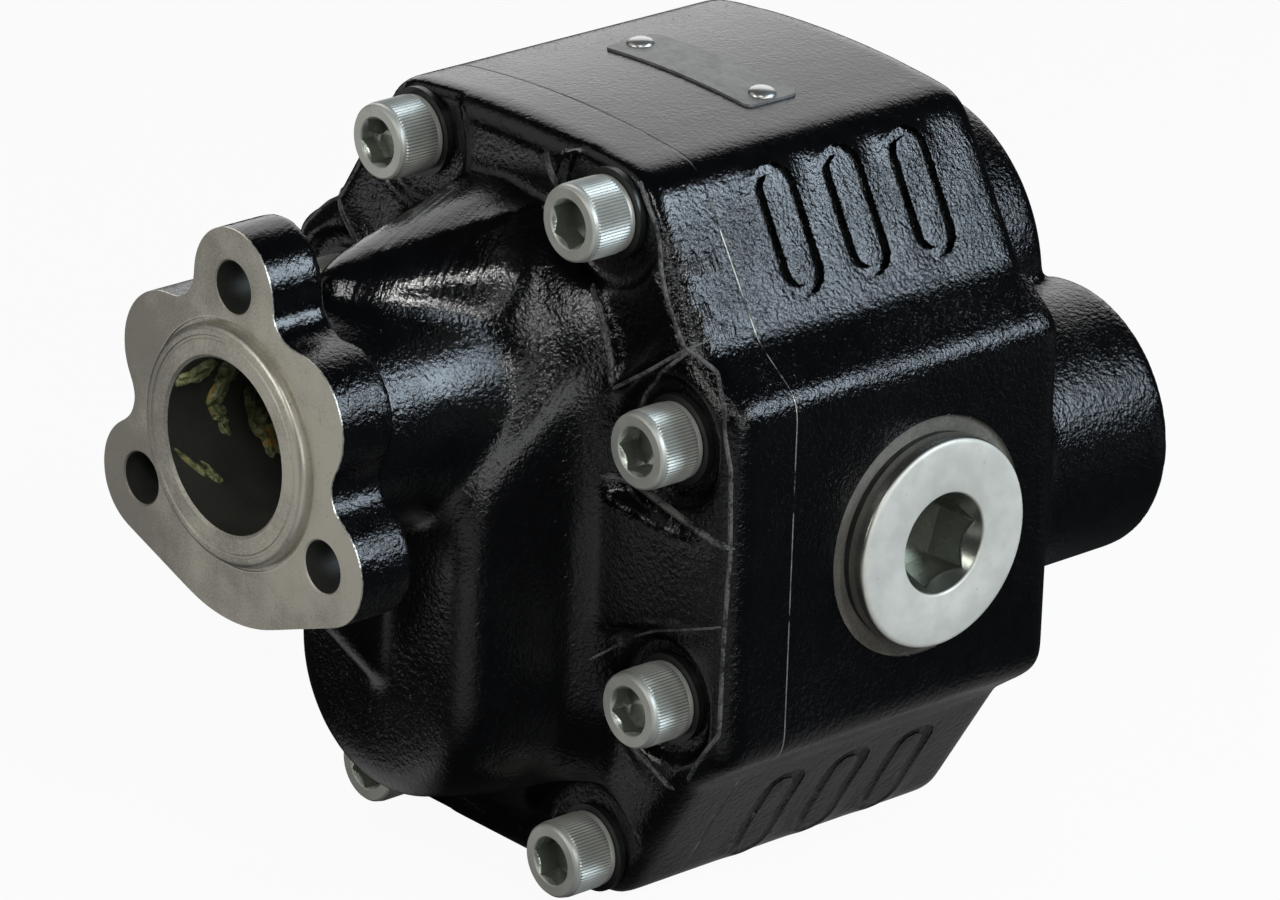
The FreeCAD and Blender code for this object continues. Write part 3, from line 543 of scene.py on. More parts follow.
def mirrored(mesh):
    """The same shape on the other side, turned right side out again."""
    mesh.transform(Matrix.Diagonal((-1, 1, 1, 1)))
    mesh.flip_normals()
    return mesh


def stock(mesh, y, depth):
    """A slab on the flat faces that lie across the axis at y."""
    shape = bmesh.new()
    shape.from_mesh(mesh)
    away = [face for face in shape.faces if any(abs(v.co.y - y) > 0.002 * MM for v in face.verts)]
    bmesh.ops.delete(shape, geom=away, context="FACES")
    piece = new_piece("slab", to_mesh(shape, "slab"))
    thicken = piece.modifiers.new("thickness", "SOLIDIFY")
    thicken.thickness = 2 * depth
    thicken.offset = 0
    slab = settle(piece).data
    drop(piece)
    return slab


def geometry_tree(name, setting, kind):
    """A node tree with geometry in and out and one setting, and the setting's key."""
    tree = bpy.data.node_groups.new(name, "GeometryNodeTree")
    face = tree.interface
    face.new_socket("Geometry", in_out="INPUT", socket_type="NodeSocketGeometry")
    key = face.new_socket(setting, in_out="INPUT", socket_type=kind).identifier
    face.new_socket("Geometry", in_out="OUTPUT", socket_type="NodeSocketGeometry")
    return tree, key


def carried(tree, name, kind):
    """The output of a node that reads a value which the points carry."""
    node = tree.nodes.new("GeometryNodeInputNamedAttribute")
    node.data_type = kind
    node.inputs["Name"].default_value = name
    return next(socket for socket in node.outputs if socket.enabled and socket.name == "Attribute")


def end_tree(tree, result, material):
    """Sets the material and leads the result out of the tree."""
    paint = tree.nodes.new("GeometryNodeSetMaterial")
    paint.inputs["Material"].default_value = material
    tree.links.new(result, paint.inputs["Geometry"])
    tree.links.new(paint.outputs[0], tree.nodes.new("NodeGroupOutput").inputs[0])


def run_tree(piece, tree, key, value):
    modifier = piece.modifiers.new("nodes", "NODES")
    modifier.node_group = tree
    modifier[key] = value
    return settle(piece)


def cast_skin(name, meshes, voxel, rounds, softness, material):
    """Fuses closed meshes into one skin of voxels and rounds it as a casting is, by the softness of each point."""
    piece = new_piece(name, together(meshes, name))
    remesh = piece.modifiers.new("voxels", "REMESH")
    remesh.mode = "VOXEL"
    remesh.voxel_size = voxel
    settle(piece)
    mark(piece.data, "softness", softness(vectors(piece.data.vertices, "co")))
    tree, key = geometry_tree(name + "_softening", "Rounds", "NodeSocketInt")
    nodes, links = tree.nodes, tree.links
    start = nodes.new("NodeGroupInput")
    blur = nodes.new("GeometryNodeBlurAttribute")
    blur.data_type = "FLOAT_VECTOR"
    move = nodes.new("GeometryNodeSetPosition")
    value_in = next(socket for socket in blur.inputs if socket.enabled and socket.name == "Value")
    value_out = next(socket for socket in blur.outputs if socket.enabled)
    links.new(nodes.new("GeometryNodeInputPosition").outputs[0], value_in)
    links.new(start.outputs["Rounds"], blur.inputs["Iterations"])
    links.new(carried(tree, "softness", "FLOAT"), blur.inputs["Weight"])
    links.new(start.outputs["Geometry"], move.inputs["Geometry"])
    links.new(value_out, move.inputs["Position"])
    end_tree(tree, move.outputs[0], material)
    return run_tree(piece, tree, key, rounds)


def repeated(name, mesh, places, turns, material, angle=35):
    """One mesh with a copy of a shape at each place, each turned by its own angles."""
    template = new_piece("template", mesh)
    points = bpy.data.meshes.new(name)
    points.from_pydata([tuple(place) for place in places], [], [])
    values = points.attributes.new("turn", "FLOAT_VECTOR", "POINT").data
    values.foreach_set("vector", [value for angles in turns for value in angles])
    piece = new_piece(name, points)
    tree, key = geometry_tree(name + "_layout", "Shape", "NodeSocketObject")
    nodes, links = tree.nodes, tree.links
    start = nodes.new("NodeGroupInput")
    source = nodes.new("GeometryNodeObjectInfo")
    angles = nodes.new("FunctionNodeEulerToRotation")
    copies = nodes.new("GeometryNodeInstanceOnPoints")
    real = nodes.new("GeometryNodeRealizeInstances")
    links.new(start.outputs["Geometry"], copies.inputs["Points"])
    links.new(start.outputs["Shape"], source.inputs["Object"])
    links.new(source.outputs["Geometry"], copies.inputs["Instance"])
    links.new(carried(tree, "turn", "FLOAT_VECTOR"), angles.inputs[0])
    links.new(angles.outputs[0], copies.inputs["Rotation"])
    links.new(copies.outputs[0], real.inputs[0])
    end_tree(tree, real.outputs[0], material)
    run_tree(piece, tree, key, template)
    drop(template)
    shade_by_angle(piece.data, angle)
    return piece


def machine(piece, steps):
    """Cuts closed meshes out of the piece one after another; a step ("UNION", mesh) is added instead."""
    tools = []
    for step in steps:
        kind, mesh = step if isinstance(step, tuple) else ("DIFFERENCE", step)
        tool = new_piece("tool", mesh)
        tool.hide_render = True
        cut = piece.modifiers.new("cut", "BOOLEAN")
        cut.operation = kind
        cut.solver = "MANIFOLD"
        cut.object = tool
        tools.append(tool)
    settle(piece)
    for tool in tools:
        drop(tool)


def paint_skin(piece, materials, choose):
    """Gives each face the material slot that choose(centres, normals) names."""
    mesh = piece.data
    coat(mesh, *materials)
    slots = choose(vectors(mesh.polygons, "center"), vectors(mesh.polygons, "normal"))
    mesh.polygons.foreach_set("material_index", slots.astype(np.int32))
    shade_by_angle(mesh, 38)


def fade(values, start, end):
    share = np.clip((values - start) / (end - start), 0, 1)
    return share * share * (3 - 2 * share)


def flange_holes():
    return [Vector((FLANGE_RADIUS * math.cos(math.radians(a)), 0, FLANGE_RADIUS * math.sin(math.radians(a))))
            for a in (90, 210, 330)]


def screw_spots():
    """Centres of the cover screws' faces, from the CAD node's separate solids."""
    shape = bmesh.new()
    shape.from_mesh(merged_mesh("cover_screws"))
    spots, left = [], set(shape.verts)
    while left:
        island, edge = set(), [left.pop()]
        while edge:
            vert = edge.pop()
            island.add(vert)
            for link in vert.link_edges:
                other = link.other_vert(vert)
                if other in left:
                    left.discard(other)
                    edge.append(other)
        low, high = (Vector([pick(v.co[k] for v in island) for k in range(3)]) for pick in (min, max))
        spots.append(Vector(((low.x + high.x) / 2, low.y, (low.z + high.z) / 2)))
    shape.free()
    return sorted(spots, key=lambda p: (round(p.x, 4), round(p.z, 4)))


# Thin ridges of the cover: radius, then points across its plate, in millimetres
RIDGES = (
    (0.55, ((39.7, 54.9), (45.7, 46.7), (52.9, 31.5), (58.6, 22.7), (66.6, 18.3), (72.1, 11.8), (74.4, -1.5),
            (74.8, -21.4), (74.2, -41.8), (74.0, -64.7), (64.1, -79.2))),
    (0.95, ((38.5, -12.4), (53.6, -15.6), (75.5, -19.9))),
    (0.5, ((44.0, 4.0), (45.8, 7.9), (49.3, 11.6), (57.2, 19.0), (60.9, 22.7))),
    (0.5, ((40.1, 7.8), (50.7, 15.4), (61.4, 23.7))),
    (0.8, ((29.9, 28.9), (33.4, 24.8), (36.2, 19.8), (38.5, 13.9), (40.1, 8.3))),
    (0.9, ((11.7, 54.5), (13.5, 50.9), (16.1, 46.5))),
    (0.75, ((48.1, -75.6), (54.7, -79.1), (60.2, -82.8))),
    (0.35, ((38.2, -57.0), (45.0, -50.8), (53.8, -46.0), (74.6, -38.3))),
    (0.4, ((17.9, -106.0), (20.2, -101.2), (24.9, -97.2), (32.3, -94.2))),
)
# Ridges that start nearer to the middle than this, in millimetres, are on the right side only
TWIN_FROM = 20
RIDGE_PITCH = 0.8
RIDGE_START_Y, RIDGE_END_Y = 70 * MM, 86 * MM


def laid(piece, points):
    """The points joined by lines and laid on the skin of the cover's plate."""
    path = []
    for (x0, z0), (x1, z1) in zip(points, points[1:]):
        count = max(2, int(math.hypot(x1 - x0, z1 - z0) / RIDGE_PITCH))
        for k in range(count + 1):
            x, z = x0 + (x1 - x0) * k / count, z0 + (z1 - z0) * k / count
            hit, place, _, _ = piece.ray_cast(Vector((x * MM, RIDGE_START_Y, z * MM)), Vector(Y_AXIS))
            if hit and place.y < RIDGE_END_Y:
                path.append(place)
    for _ in range(4):
        inner = [(path[k - 1] + path[k] * 2 + path[k + 1]) / 4 for k in range(1, len(path) - 1)]
        path = [path[0], *inner, path[-1]]
    return path


def bead(path, radius, sides=8):
    """A round bead along a path, thin at both ends."""
    rows = []
    for k, point in enumerate(path):
        along = (path[min(k + 2, len(path) - 1)] - path[max(k - 2, 0)]).normalized()
        across = along.cross(Vector(Y_AXIS)).normalized()
        up = across.cross(along)
        thin = 0.15 if k in (0, len(path) - 1) else 1.0
        rows.append([point + (across * math.cos(a) + up * math.sin(a)) * radius * thin
                     for a in (2 * math.pi * n / sides for n in range(sides))])
    return shell(rows)


# Flat top of the web that rises from the neck to the plate, in millimetres
WEB_TOP = ((3, 24, 35), (-3, 24, 35), (-14, 77, 43), (14, 77, 43))
WEB_DEPTH = 12 * MM
# Spigot: along Y from the flange's face and out from the spigot's radius, and its grooved end, in millimetres
SPIGOT_WALL = ((3, 0.0), (-1.0, 0.0), (-1.35, -0.05), (-1.75, -0.2), (-2.1, -0.5), (-2.35, -0.9))
SPIGOT_END = ((0, -1.4), (0, -2.3), (0.3, -2.6), (0.3, -3.1), (0, -3.4))
SPIGOT_RELIEF = ((-1, 0.02), (-1, 1.3), (0.35, 0.9), (0.35, 0.02))


class PUMP_OT_front_cover(bpy.types.Operator):
    """Makes the front cover: a soft cast skin with its faces and bores machined"""

    bl_idname = "pump.front_cover"
    bl_label = "Front cover"

    def execute(self, context):
        size = context.scene.pump_castings
        enamel = enamel_finish(tuple(size.enamel), tuple(size.bare_iron), size.skin_bumps)
        # The machined flange face gets painted light, lighter towards +X.
        iron = iron_finish("machined_iron", tuple(size.bare_iron), painted_light_x=3.0)
        # Near-black iron on the walls of the bore and the bolt holes: old oil, and a painted shade in these deep holes.
        dark = iron_finish("shaded_oiled_bore", (0.055, 0.057, 0.048), 0.42, 0.1)
        self.holes, self.screws = flange_holes(), [(spot.x, 0, spot.z) for spot in screw_spots()]
        self.dowels = [(side * DOWEL_X, 0, MIDDLE_Z) for side in (-1, 1)]
        self.dowel_radius = node_size("dowel_pins").z / 2
        piece = cast_skin("front_cover_skin", self.blank(size), size.voxel, size.cover_rounds, self.softness, enamel)
        machine(piece, self.cuts(size))
        self.first_ridge = len(piece.data.polygons)
        ridges = [bead(laid(piece, points), radius * MM) for radius, points in RIDGES]
        twins = [mirrored(ridge.copy()) for ridge, (_, points) in zip(ridges, RIDGES) if points[0][0] >= TWIN_FROM]
        piece.data = together([piece.data] + ridges + twins, "front_cover_skin")
        paint_skin(piece, (enamel, iron, dark, worn_and_highlit_finish(tuple(size.enamel))), self.slots)
        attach(piece, "pump_case")
        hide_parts("front_cover")
        return {"FINISHED"}

    def blank(self, size):
        """The closed meshes that the casting is fused from: its bores are filled and its flat faces thicker."""
        node = merged_mesh("front_cover")
        front, back = -size.allowance, PARTING_Y + size.allowance
        solid = [node, stock(node, 0.0, size.allowance), stock(node, PARTING_Y, size.allowance),
                 bar(size.bore_radius + MM, front, SEAL_START),
                 bar(BUSH_RADIUS + MM, SEAL_START - MM, back),
                 bar(BUSH_RADIUS + MM, DRIVEN_START - 0.5 * MM, back, centre=(0, 0, GEAR_DROP))]
        solid += [bar(BOLT_RADIUS + 0.5 * MM, front, 14 * MM, centre=hole) for hole in self.holes]
        top = [Vector(corner) * MM for corner in WEB_TOP]
        solid.append(shell([top, [corner - Vector((0, 0, WEB_DEPTH)) for corner in top]]))
        solid += [bar(7.2 * MM, SCREW_SEAT, back, centre=screw) for screw in self.screws]
        solid += [bar(self.dowel_radius + MM, 80 * MM, back, centre=dowel) for dowel in self.dowels]
        return solid

    def softness(self, points):
        """Softest behind the neck, nearly hard on the flange and the plate."""
        x, y, z = points.T
        round_neck = 1 - fade(np.hypot(x, z), 31 * MM, 44 * MM)
        behind = fade(y, 16 * MM, 22 * MM) * (1 - fade(y, 66 * MM, 77 * MM))
        crest = fade(z, 24 * MM, 29 * MM) * fade(y, 31 * MM, 40 * MM)
        gusset = (1 - fade(np.abs(x), 4 * MM, 10 * MM)) * fade(-z, 34 * MM, 40 * MM) * behind
        tower = fade(y, 38 * MM, 42 * MM) * (1 - fade(y, 60 * MM, 74 * MM))
        return 0.02 + 0.04 * tower + 0.03 * gusset + 0.9 * round_neck * behind * (1 - 0.85 * crest)

    def cuts(self, size):
        """The faces, the spigot and the bores, in the order in which they are machined."""
        far = 0.2
        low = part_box("front_cover")[0].y
        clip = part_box("seal_circlip")
        spigot = [(3 * MM, 0)] + [(y * MM, SPIGOT_RADIUS + r * MM) for y, r in SPIGOT_WALL] \
            + [(low + y * MM, SPIGOT_RADIUS + r * MM) for y, r in SPIGOT_END] + [(low, 0)]
        relief = [(y * MM, SPIGOT_RADIUS + r * MM) for y, r in SPIGOT_RELIEF]
        mouth = 0.8 * MM
        steps = [block((-far, -far, -far), (far, 0, far)),
                 block((-far, PARTING_Y, -far), (far, far, far)),
                 ("UNION", lathe(spigot, Y_AXIS, 256)),
                 lathe(relief, Y_AXIS, 256, loop=True),
                 bar(size.bore_radius, -far, SEAL_START + MM, segments=192),
                 bar(size.bore_radius + mouth + MM, low - MM, low + mouth, segments=192,
                     end_radius=size.bore_radius - 0.2 * MM),
                 bar(BUSH_RADIUS, SEAL_START, far),
                 bar(BUSH_RADIUS, DRIVEN_START, far, centre=(0, 0, GEAR_DROP)),
                 bar((clip[1].x - clip[0].x) / 2 + 0.05 * MM, clip[0].y - 0.05 * MM, clip[1].y + 0.05 * MM)]
        for hole in self.holes:
            steps.append(bar(BOLT_RADIUS, -far, 17 * MM, centre=hole, segments=64))
            steps.append(bar(BOLT_RADIUS + size.hole_chamfer + MM, -MM, size.hole_chamfer, centre=hole, segments=64,
                             end_radius=BOLT_RADIUS - 0.01 * MM))
        steps += [bar(6.75 * MM, SCREW_SEAT - MM, far, centre=screw, segments=48) for screw in self.screws]
        steps += [bar(self.dowel_radius + 0.01 * MM, 85.5 * MM, far, centre=dowel, segments=48)
                  for dowel in self.dowels]
        return steps

    def slots(self, centres, normals):
        """Enamel 0, machined iron 1, oiled bores with a painted shade 2, worn ridges with a painted highlight 3."""
        x, y, z = centres.T
        radius = np.hypot(x, z)
        face = (y < 0.4 * MM) & (normals[:, 1] < -0.5)
        ring = (y < 0.5 * MM) & (radius < SPIGOT_RADIUS + 1.5 * MM)
        inward = normals[:, 0] * x + normals[:, 2] * z < 0
        deep = (radius < BUSH_RADIUS + 2 * MM) & (y > -1.2 * MM) & inward
        walls = (y > 0.6 * MM) & (y < 16 * MM) & np.any(
            [np.hypot(x - hole.x, z - hole.z) < BOLT_RADIUS + 0.05 * MM for hole in self.holes], 0)
        slots = np.where(deep | walls, 2, np.where(face | ring, 1, 0))
        # The thin ridges get the grey enamel: rubbed paint and a painted highlight.
        slots[self.first_ridge:] = 3
        return slots


def racetrack(long, wide, seed=None):
    """Radius by angle of a slot's outline in millimetres, ragged if a seed is given."""
    reach, cap = (long - wide) / 2, wide / 2

    def radius(angle):
        across, along = abs(math.sin(angle)), abs(math.cos(angle))
        if along * cap <= reach * across:
            r = cap / across
        else:
            r = reach * along + math.sqrt(max(0.0, cap ** 2 - (reach * across) ** 2))
        if seed is not None:
            r += 0.14 * math.sin(31 * angle + seed * 2.1) + 0.12 * math.sin(53 * angle + seed) \
                + 0.1 * math.sin(79 * angle + seed * 3.3)
        return r * MM
    return radius


# Slots on the slopes, in millimetres: length and width outside and inside the channel, and of the filling
SLOT_OUTER, SLOT_INNER, SLOT_FILL = (30.5, 12.0), (26.0, 7.3), (32.4, 13.8)
SLOT_DRAFT = 0.4
SLOT_DROP, SLOT_START, SLOT_PITCH = 19.5, 18.5, 20
# Depth and lean of the walls: the upper slots are deep and upright, the lower ones shallow
SLOT_HALVES = ((1, 1.7 * MM, 0.0), (-1, 0.4 * MM, 0.5))


def slot_frames():
    """Where the slots lie on the four slopes, with their depth and lean; each runs out at one end."""
    top = Vector((TOP_HALF_WIDTH, 0, CORNER_HEIGHT)) * MM
    down = (Vector((WAIST_HALF_WIDTH, 0, WAIST_HEIGHT)) * MM - top).normalized()
    normal = Vector((-down.z, 0, down.x))
    basis = Matrix((down, Vector(Y_AXIS), normal)).transposed().to_4x4()
    tilt = Matrix.Rotation(math.radians(2.2), 4, "Y")
    frames = []
    for k in range(3):
        place = top + down * SLOT_DROP * MM + Vector((0, PARTING_Y + (SLOT_START + SLOT_PITCH * k) * MM, 0))
        upper = Matrix.Translation(place) @ basis @ tilt
        for side in (1, -1):
            for half, depth, lean in SLOT_HALVES:
                flip = Matrix.Translation((0, 0, MIDDLE_Z)) @ Matrix.Diagonal((side, 1, half, 1))
                frames.append((flip @ upper, depth, lean))
    return frames


def slot_cutter(matrix, depth, lean, seed):
    """A ragged channel round an island."""
    low_out, top_out = (racetrack(*(size + by for size in SLOT_OUTER), seed) for by in (-lean, SLOT_DRAFT + lean))
    low_in, top_in = (racetrack(*(size - by for size in SLOT_INNER), seed + 20) for by in (-lean, SLOT_DRAFT + lean))
    mesh = lathe([(-depth, low_out), (0, top_out), (3 * MM, top_out), (3 * MM, top_in), (0, top_in),
                  (-depth, low_in)], Z_AXIS, 160, loop=True)
    mesh.transform(matrix)
    if matrix.determinant() < 0:
        mesh.flip_normals()
    return mesh


class PUMP_OT_pump_body(bpy.types.Operator):
    """Makes the pump body: a soft cast skin with its ports and chamber machined"""

    bl_idname = "pump.pump_body"
    bl_label = "Pump body"

    def execute(self, context):
        size = context.scene.pump_castings
        enamel = bpy.data.materials["black_enamel"]
        iron = iron_finish("seat_iron", scaled(size.bare_iron, 0.42), 0.55, 0.3)
        self.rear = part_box("pump_body")[1].y
        self.chamber = node_size("front_wear_plate").x / 2 + 0.08 * MM
        self.chamber_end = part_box("rear_drive_bush")[0].y - 0.1 * MM
        self.bush_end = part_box("rear_drive_bush")[1].y + 2 * MM
        self.screw_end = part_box("cover_screws")[1].y + 4 * MM
        self.face_x = SIDE_SEAT_X + 0.8 * MM
        self.screws = [(spot.x, 0, spot.z) for spot in screw_spots()]
        self.frames = slot_frames()
        piece = cast_skin("pump_body_skin", self.blank(size), size.voxel, size.body_rounds,
                          lambda points: np.full(len(points), 0.7), enamel)
        machine(piece, self.cuts())
        paint_skin(piece, (enamel, iron), self.slots)
        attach(piece, "pump_case")
        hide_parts("pump_body")
        return {"FINISHED"}

    def blank(self, size):
        """The closed meshes that the casting is fused from: its chamber, bores and slots are filled."""
        node = merged_mesh("pump_body")
        front = PARTING_Y - size.allowance
        solid = [node, stock(node, PARTING_Y, size.allowance),
                 block((-30 * MM, front, GEAR_DROP), (30 * MM, self.chamber_end + MM, 0))]
        for z in (0, GEAR_DROP):
            solid.append(bar(self.chamber + MM, front, self.chamber_end + MM, centre=(0, 0, z)))
            solid.append(bar(BUSH_RADIUS + MM, self.chamber_end - MM, self.bush_end + MM, centre=(0, 0, z)))
        solid += [bar(7 * MM, front, self.screw_end + MM, centre=screw) for screw in self.screws]
        for side in (-1, 1):
            solid.append(bar(PORT_RADIUS + 2.5 * MM, self.rear - 30 * MM, self.rear,
                             centre=(side * REAR_PORT_X, 0, MIDDLE_Z)))
            solid.append(bar(OIL_WAY_RADIUS + 2 * MM, SIDE_PORT_Y - 5 * MM, self.rear - 20 * MM,
                             centre=(side * OIL_WAY_X, 0, MIDDLE_Z)))
            solid.append(bar(SIDE_SEAT_RADIUS + MM, side * 20 * MM, side * self.face_x, X_AXIS,
                             (0, SIDE_PORT_Y, MIDDLE_Z)))
        for matrix, _, _ in self.frames:
            outline = racetrack(*SLOT_FILL)
            fill = lathe([(-2.6 * MM, 0), (-2.6 * MM, outline), (0, outline), (0, 0)], Z_AXIS, 96)
            fill.transform(matrix)
            solid.append(fill)
        return solid

    def cuts(self):
        """The face, the chamber, the bores, the ports and the slots, in the order in which they are machined."""
        far = 0.25
        steps = [block((-far, -far, -far), (far, PARTING_Y, far))]
        for z in (0, GEAR_DROP):
            steps.append(bar(self.chamber, 0, self.chamber_end, centre=(0, 0, z)))
            steps.append(bar(BUSH_RADIUS, self.chamber_end - MM, self.bush_end, centre=(0, 0, z)))
        steps += [bar(6.02 * MM, 0, self.screw_end, centre=screw, segments=48) for screw in self.screws]
        side_port = (0, SIDE_PORT_Y, MIDDLE_Z)
        for side in (-1, 1):
            boss = (side * REAR_PORT_X, 0, MIDDLE_Z)
            steps += [bar(PORT_RADIUS, self.rear - 22 * MM, far, centre=boss, segments=128),
                      bar(PORT_RADIUS + 2 * MM, self.rear + MM, self.rear - MM, centre=boss, segments=128,
                          end_radius=PORT_RADIUS),
                      bar(OIL_WAY_RADIUS, SIDE_PORT_Y, self.rear - 21 * MM, centre=(side * OIL_WAY_X, 0, MIDDLE_Z)),
                      bar(SIDE_SEAT_RADIUS, side * SIDE_SEAT_X, side * far, X_AXIS, side_port, 160),
                      bar(PORT_RADIUS, side * (self.face_x - 22 * MM), side * far, X_AXIS, side_port, 128),
                      bar(15 * MM, side * 10 * MM, side * far, X_AXIS, side_port),
                      bar(4.01 * MM, 0, PARTING_Y + 10.5 * MM, centre=(side * DOWEL_X, 0, MIDDLE_Z), segments=48)]
        return steps + [slot_cutter(*spec, k) for k, spec in enumerate(self.frames)]

    def slots(self, centres, normals):
        """Enamel 0, bare iron 1 on the plugs' seats and in the rear ports."""
        x, y, z = centres.T
        seat = (np.hypot(y - SIDE_PORT_Y, z - MIDDLE_Z) < SIDE_SEAT_RADIUS + 0.05 * MM) & (np.abs(x) > 55 * MM)
        rear = (np.hypot(np.abs(x) - REAR_PORT_X, z - MIDDLE_Z) < PORT_RADIUS + 0.4 * MM) & (y > 180 * MM)
        return seat | rear


def hexagon(flats, turned=0.0):
    """Radius of a six-sided outline by angle."""
    return lambda angle: flats / 2 / math.cos((angle - turned) % (math.pi / 3) - math.pi / 6)


def widest(first, second):
    """The larger of a plain radius and a radius by angle."""
    return lambda angle: max(first, second(angle))


def screw_mesh(size, long, head):
    """A socket head screw whose face lies at 0 and whose shank runs along +Y."""
    radius = size.head_radius
    flats = hexagon(size.socket_flats)
    lead = size.socket_flats / math.sqrt(3) * 1.03
    deep, shank = size.socket_depth, 6 * MM

    def knurl(share):
        return lambda angle: radius - size.ridge_height * (1 - share * (round(angle * size.ridges / math.pi) % 2))

    rings = [(deep + 0.9 * MM, 0), (deep, flats), (1.1 * MM, flats)]
    rings += [(d * MM, widest(lead - d * MM * 0.9, flats)) for d in (0.9, 0.65, 0.4, 0.2)]
    rings += [(0.0, widest(lead, flats))]
    rings += [(y * MM, radius - r * MM) for y, r in ((0.0, 0.85), (0.1, 0.68), (0.5, 0.34), (0.8, 0.26))]
    rings += [(head * 0.1, radius - 0.25 * MM), (head * 0.12, knurl(0.0)), (head * 0.16, knurl(1.0)),
              (head * 0.86, knurl(1.0)), (head * 0.89, knurl(0.0)), (head * 0.91, radius - 0.2 * MM),
              (head - 0.25 * MM, radius - 0.2 * MM), (head, radius - 0.5 * MM),
              (head, shank), (long - 0.8 * MM, shank), (long, shank - 0.8 * MM), (long, 0)]
    mesh = lathe(rings, Y_AXIS, size.ridges * 2)
    x, y, z = vectors(mesh.vertices, "co").T
    away = np.hypot(x, z)
    mark(mesh, "socket", (away < lead + 0.05 * MM) & (y > 0.3 * MM))
    # Painted shade in the knurl's valleys.
    mark(mesh, "painted_shade", np.clip((radius - away) / size.ridge_height, 0, 1) * 0.8 * (y > head * 0.13) * (y < head * 0.88))
    return mesh


class PUMP_OT_cover_screws(bpy.types.Operator):
    """Makes the eight knurled socket head screws that hold the cover"""

    bl_idname = "pump.cover_screws"
    bl_label = "Cover screws"

    def execute(self, context):
        size = context.scene.pump_fasteners
        zinc = zinc_finish("screw_zinc", tuple(size.zinc), scratch=0.25, rough=0.40, metal=0.5)
        low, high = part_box("cover_screws")
        shape = screw_mesh(size, high.y - low.y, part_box("screw_washers")[0].y - low.y)
        spots = screw_spots()
        turns = [(0, math.radians(17 * k), 0) for k in range(len(spots))]
        piece = repeated("cover_screw_set", shape, spots, turns, zinc, 20)
        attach(piece, "pump_case")
        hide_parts("cover_screws")
        # The washers are near-black, much darker than the screws' zinc.
        coat(frame["nodes"]["screw_washers"].data, zinc_finish("washer_zinc", (0.07, 0.074, 0.072), rough=0.3))
        return {"FINISHED"}


# A plug's neck from under its collar and from its thread, and the rounded rim of its face, in millimetres
PLUG_NECK = ((-2.5, 0), (-2.3, -1.4), (-0.2, -1.5), (0, -1.3))
PLUG_EDGE = ((0, -0.5), (0.3, -0.1), (0.6, 0))
PLUG_RIM = ((1.15, 0), (0.75, 0.12), (0.35, 0.42), (0.1, 0.85), (0, 1.4))
PLUG_CONE = (0.6, 1.0, 1.4, 1.8, 2.2, 2.6, 3.0, 3.4, 3.8, 4.2, 4.6, 5.5)


def plug_mesh(size, under, face, inner):
    """A port plug along +X, from its thread's end to its face."""
    collar, mouth = size.collar_radius, size.mouth_radius
    flats = hexagon(size.socket_flats, size.socket_turn)
    thread = PORT_RADIUS - 0.05 * MM
    deep = face - 13 * MM
    cone = (mouth - (size.socket_flats / 2 - MM)) / (PLUG_CONE[-1] * MM)
    rings = [(inner, 0), (inner, thread - 0.8 * MM), (inner + 0.8 * MM, thread)]
    rings += [(under + x * MM, thread + r * MM) for x, r in PLUG_NECK]
    rings += [(under + x * MM, collar + r * MM) for x, r in PLUG_EDGE]
    rings += [(face - x * MM, collar - r * MM) for x, r in PLUG_RIM]
    rings += [(face, mouth + 0.25 * MM), (face - 0.12 * MM, mouth)]
    rings += [(face - d * MM, widest(mouth - d * MM * cone, flats)) for d in PLUG_CONE]
    rings += [(deep, flats), (deep - 0.4 * MM, 0)]
    mesh = lathe(rings, X_AXIS, 288)
    x, y, z = vectors(mesh.vertices, "co").T
    away = np.hypot(y, z)
    mark(mesh, "socket", (away < mouth + 0.1 * MM) & (x < face - 0.3 * MM))
    # Painted shade on the collar's sides and back, all of it but the face.
    mark(mesh, "painted_shade", 0.9 * (away > thread) * (x < face - 0.6 * MM))
    return mesh


class PUMP_OT_port_plugs(bpy.types.Operator):
    """Makes the two side port plugs"""

    bl_idname = "pump.port_plugs"
    bl_label = "Port plugs"

    def execute(self, context):
        size = context.scene.pump_plugs
        # The plug's socket and mouth keep 0.3 of the zinc's colour: a painted shade.
        zinc = zinc_finish("plug_zinc", tuple(size.zinc), scratch=0.25, rough=0.34, metal=0.15, bare_and_painted_light=0.3)
        low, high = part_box("right_port_plug")
        for side, name in ((1, "right"), (-1, "left")):
            mesh = plug_mesh(size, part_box("right_plug_seal")[1].x, high.x, low.x)
            mesh.transform(Matrix.Translation((0, SIDE_PORT_Y, MIDDLE_Z)))
            if side < 0:
                mirrored(mesh)
            piece = new_piece(name + "_plug_turned", mesh, zinc)
            shade_by_angle(mesh, 30)
            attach(piece, "pump_case")
            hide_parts(name + "_port_plug")
        return {"FINISHED"}


# Torn flakes of grease in the bore: place along Y, angle, half length, half width, slant, seed
FLAKES = ((3.5, 147, 5.0, 3.6, 0.2, 1), (13.5, 158, 4.6, 5.5, -0.3, 2), (12.5, 188, 2.2, 3.6, 0.2, 3),
          (25.0, 202, 4.6, 8.5, 0.1, 4), (2.6, 213, 0.6, 5.0, 0.75, 5), (6.5, 222, 0.8, 3.2, 0.5, 7))
# Rings of a flake from its middle out: 1 for the free side, -1 for the side in the wall
FLAKE_RINGS = ((1, 0.0), (1, 0.35), (1, 0.65), (1, 0.85), (1, 0.97), (-1, 1.0), (-1, 0.8))
FLAKE_POINTS = 40
FLAKE_FRONT = -1.6 * MM


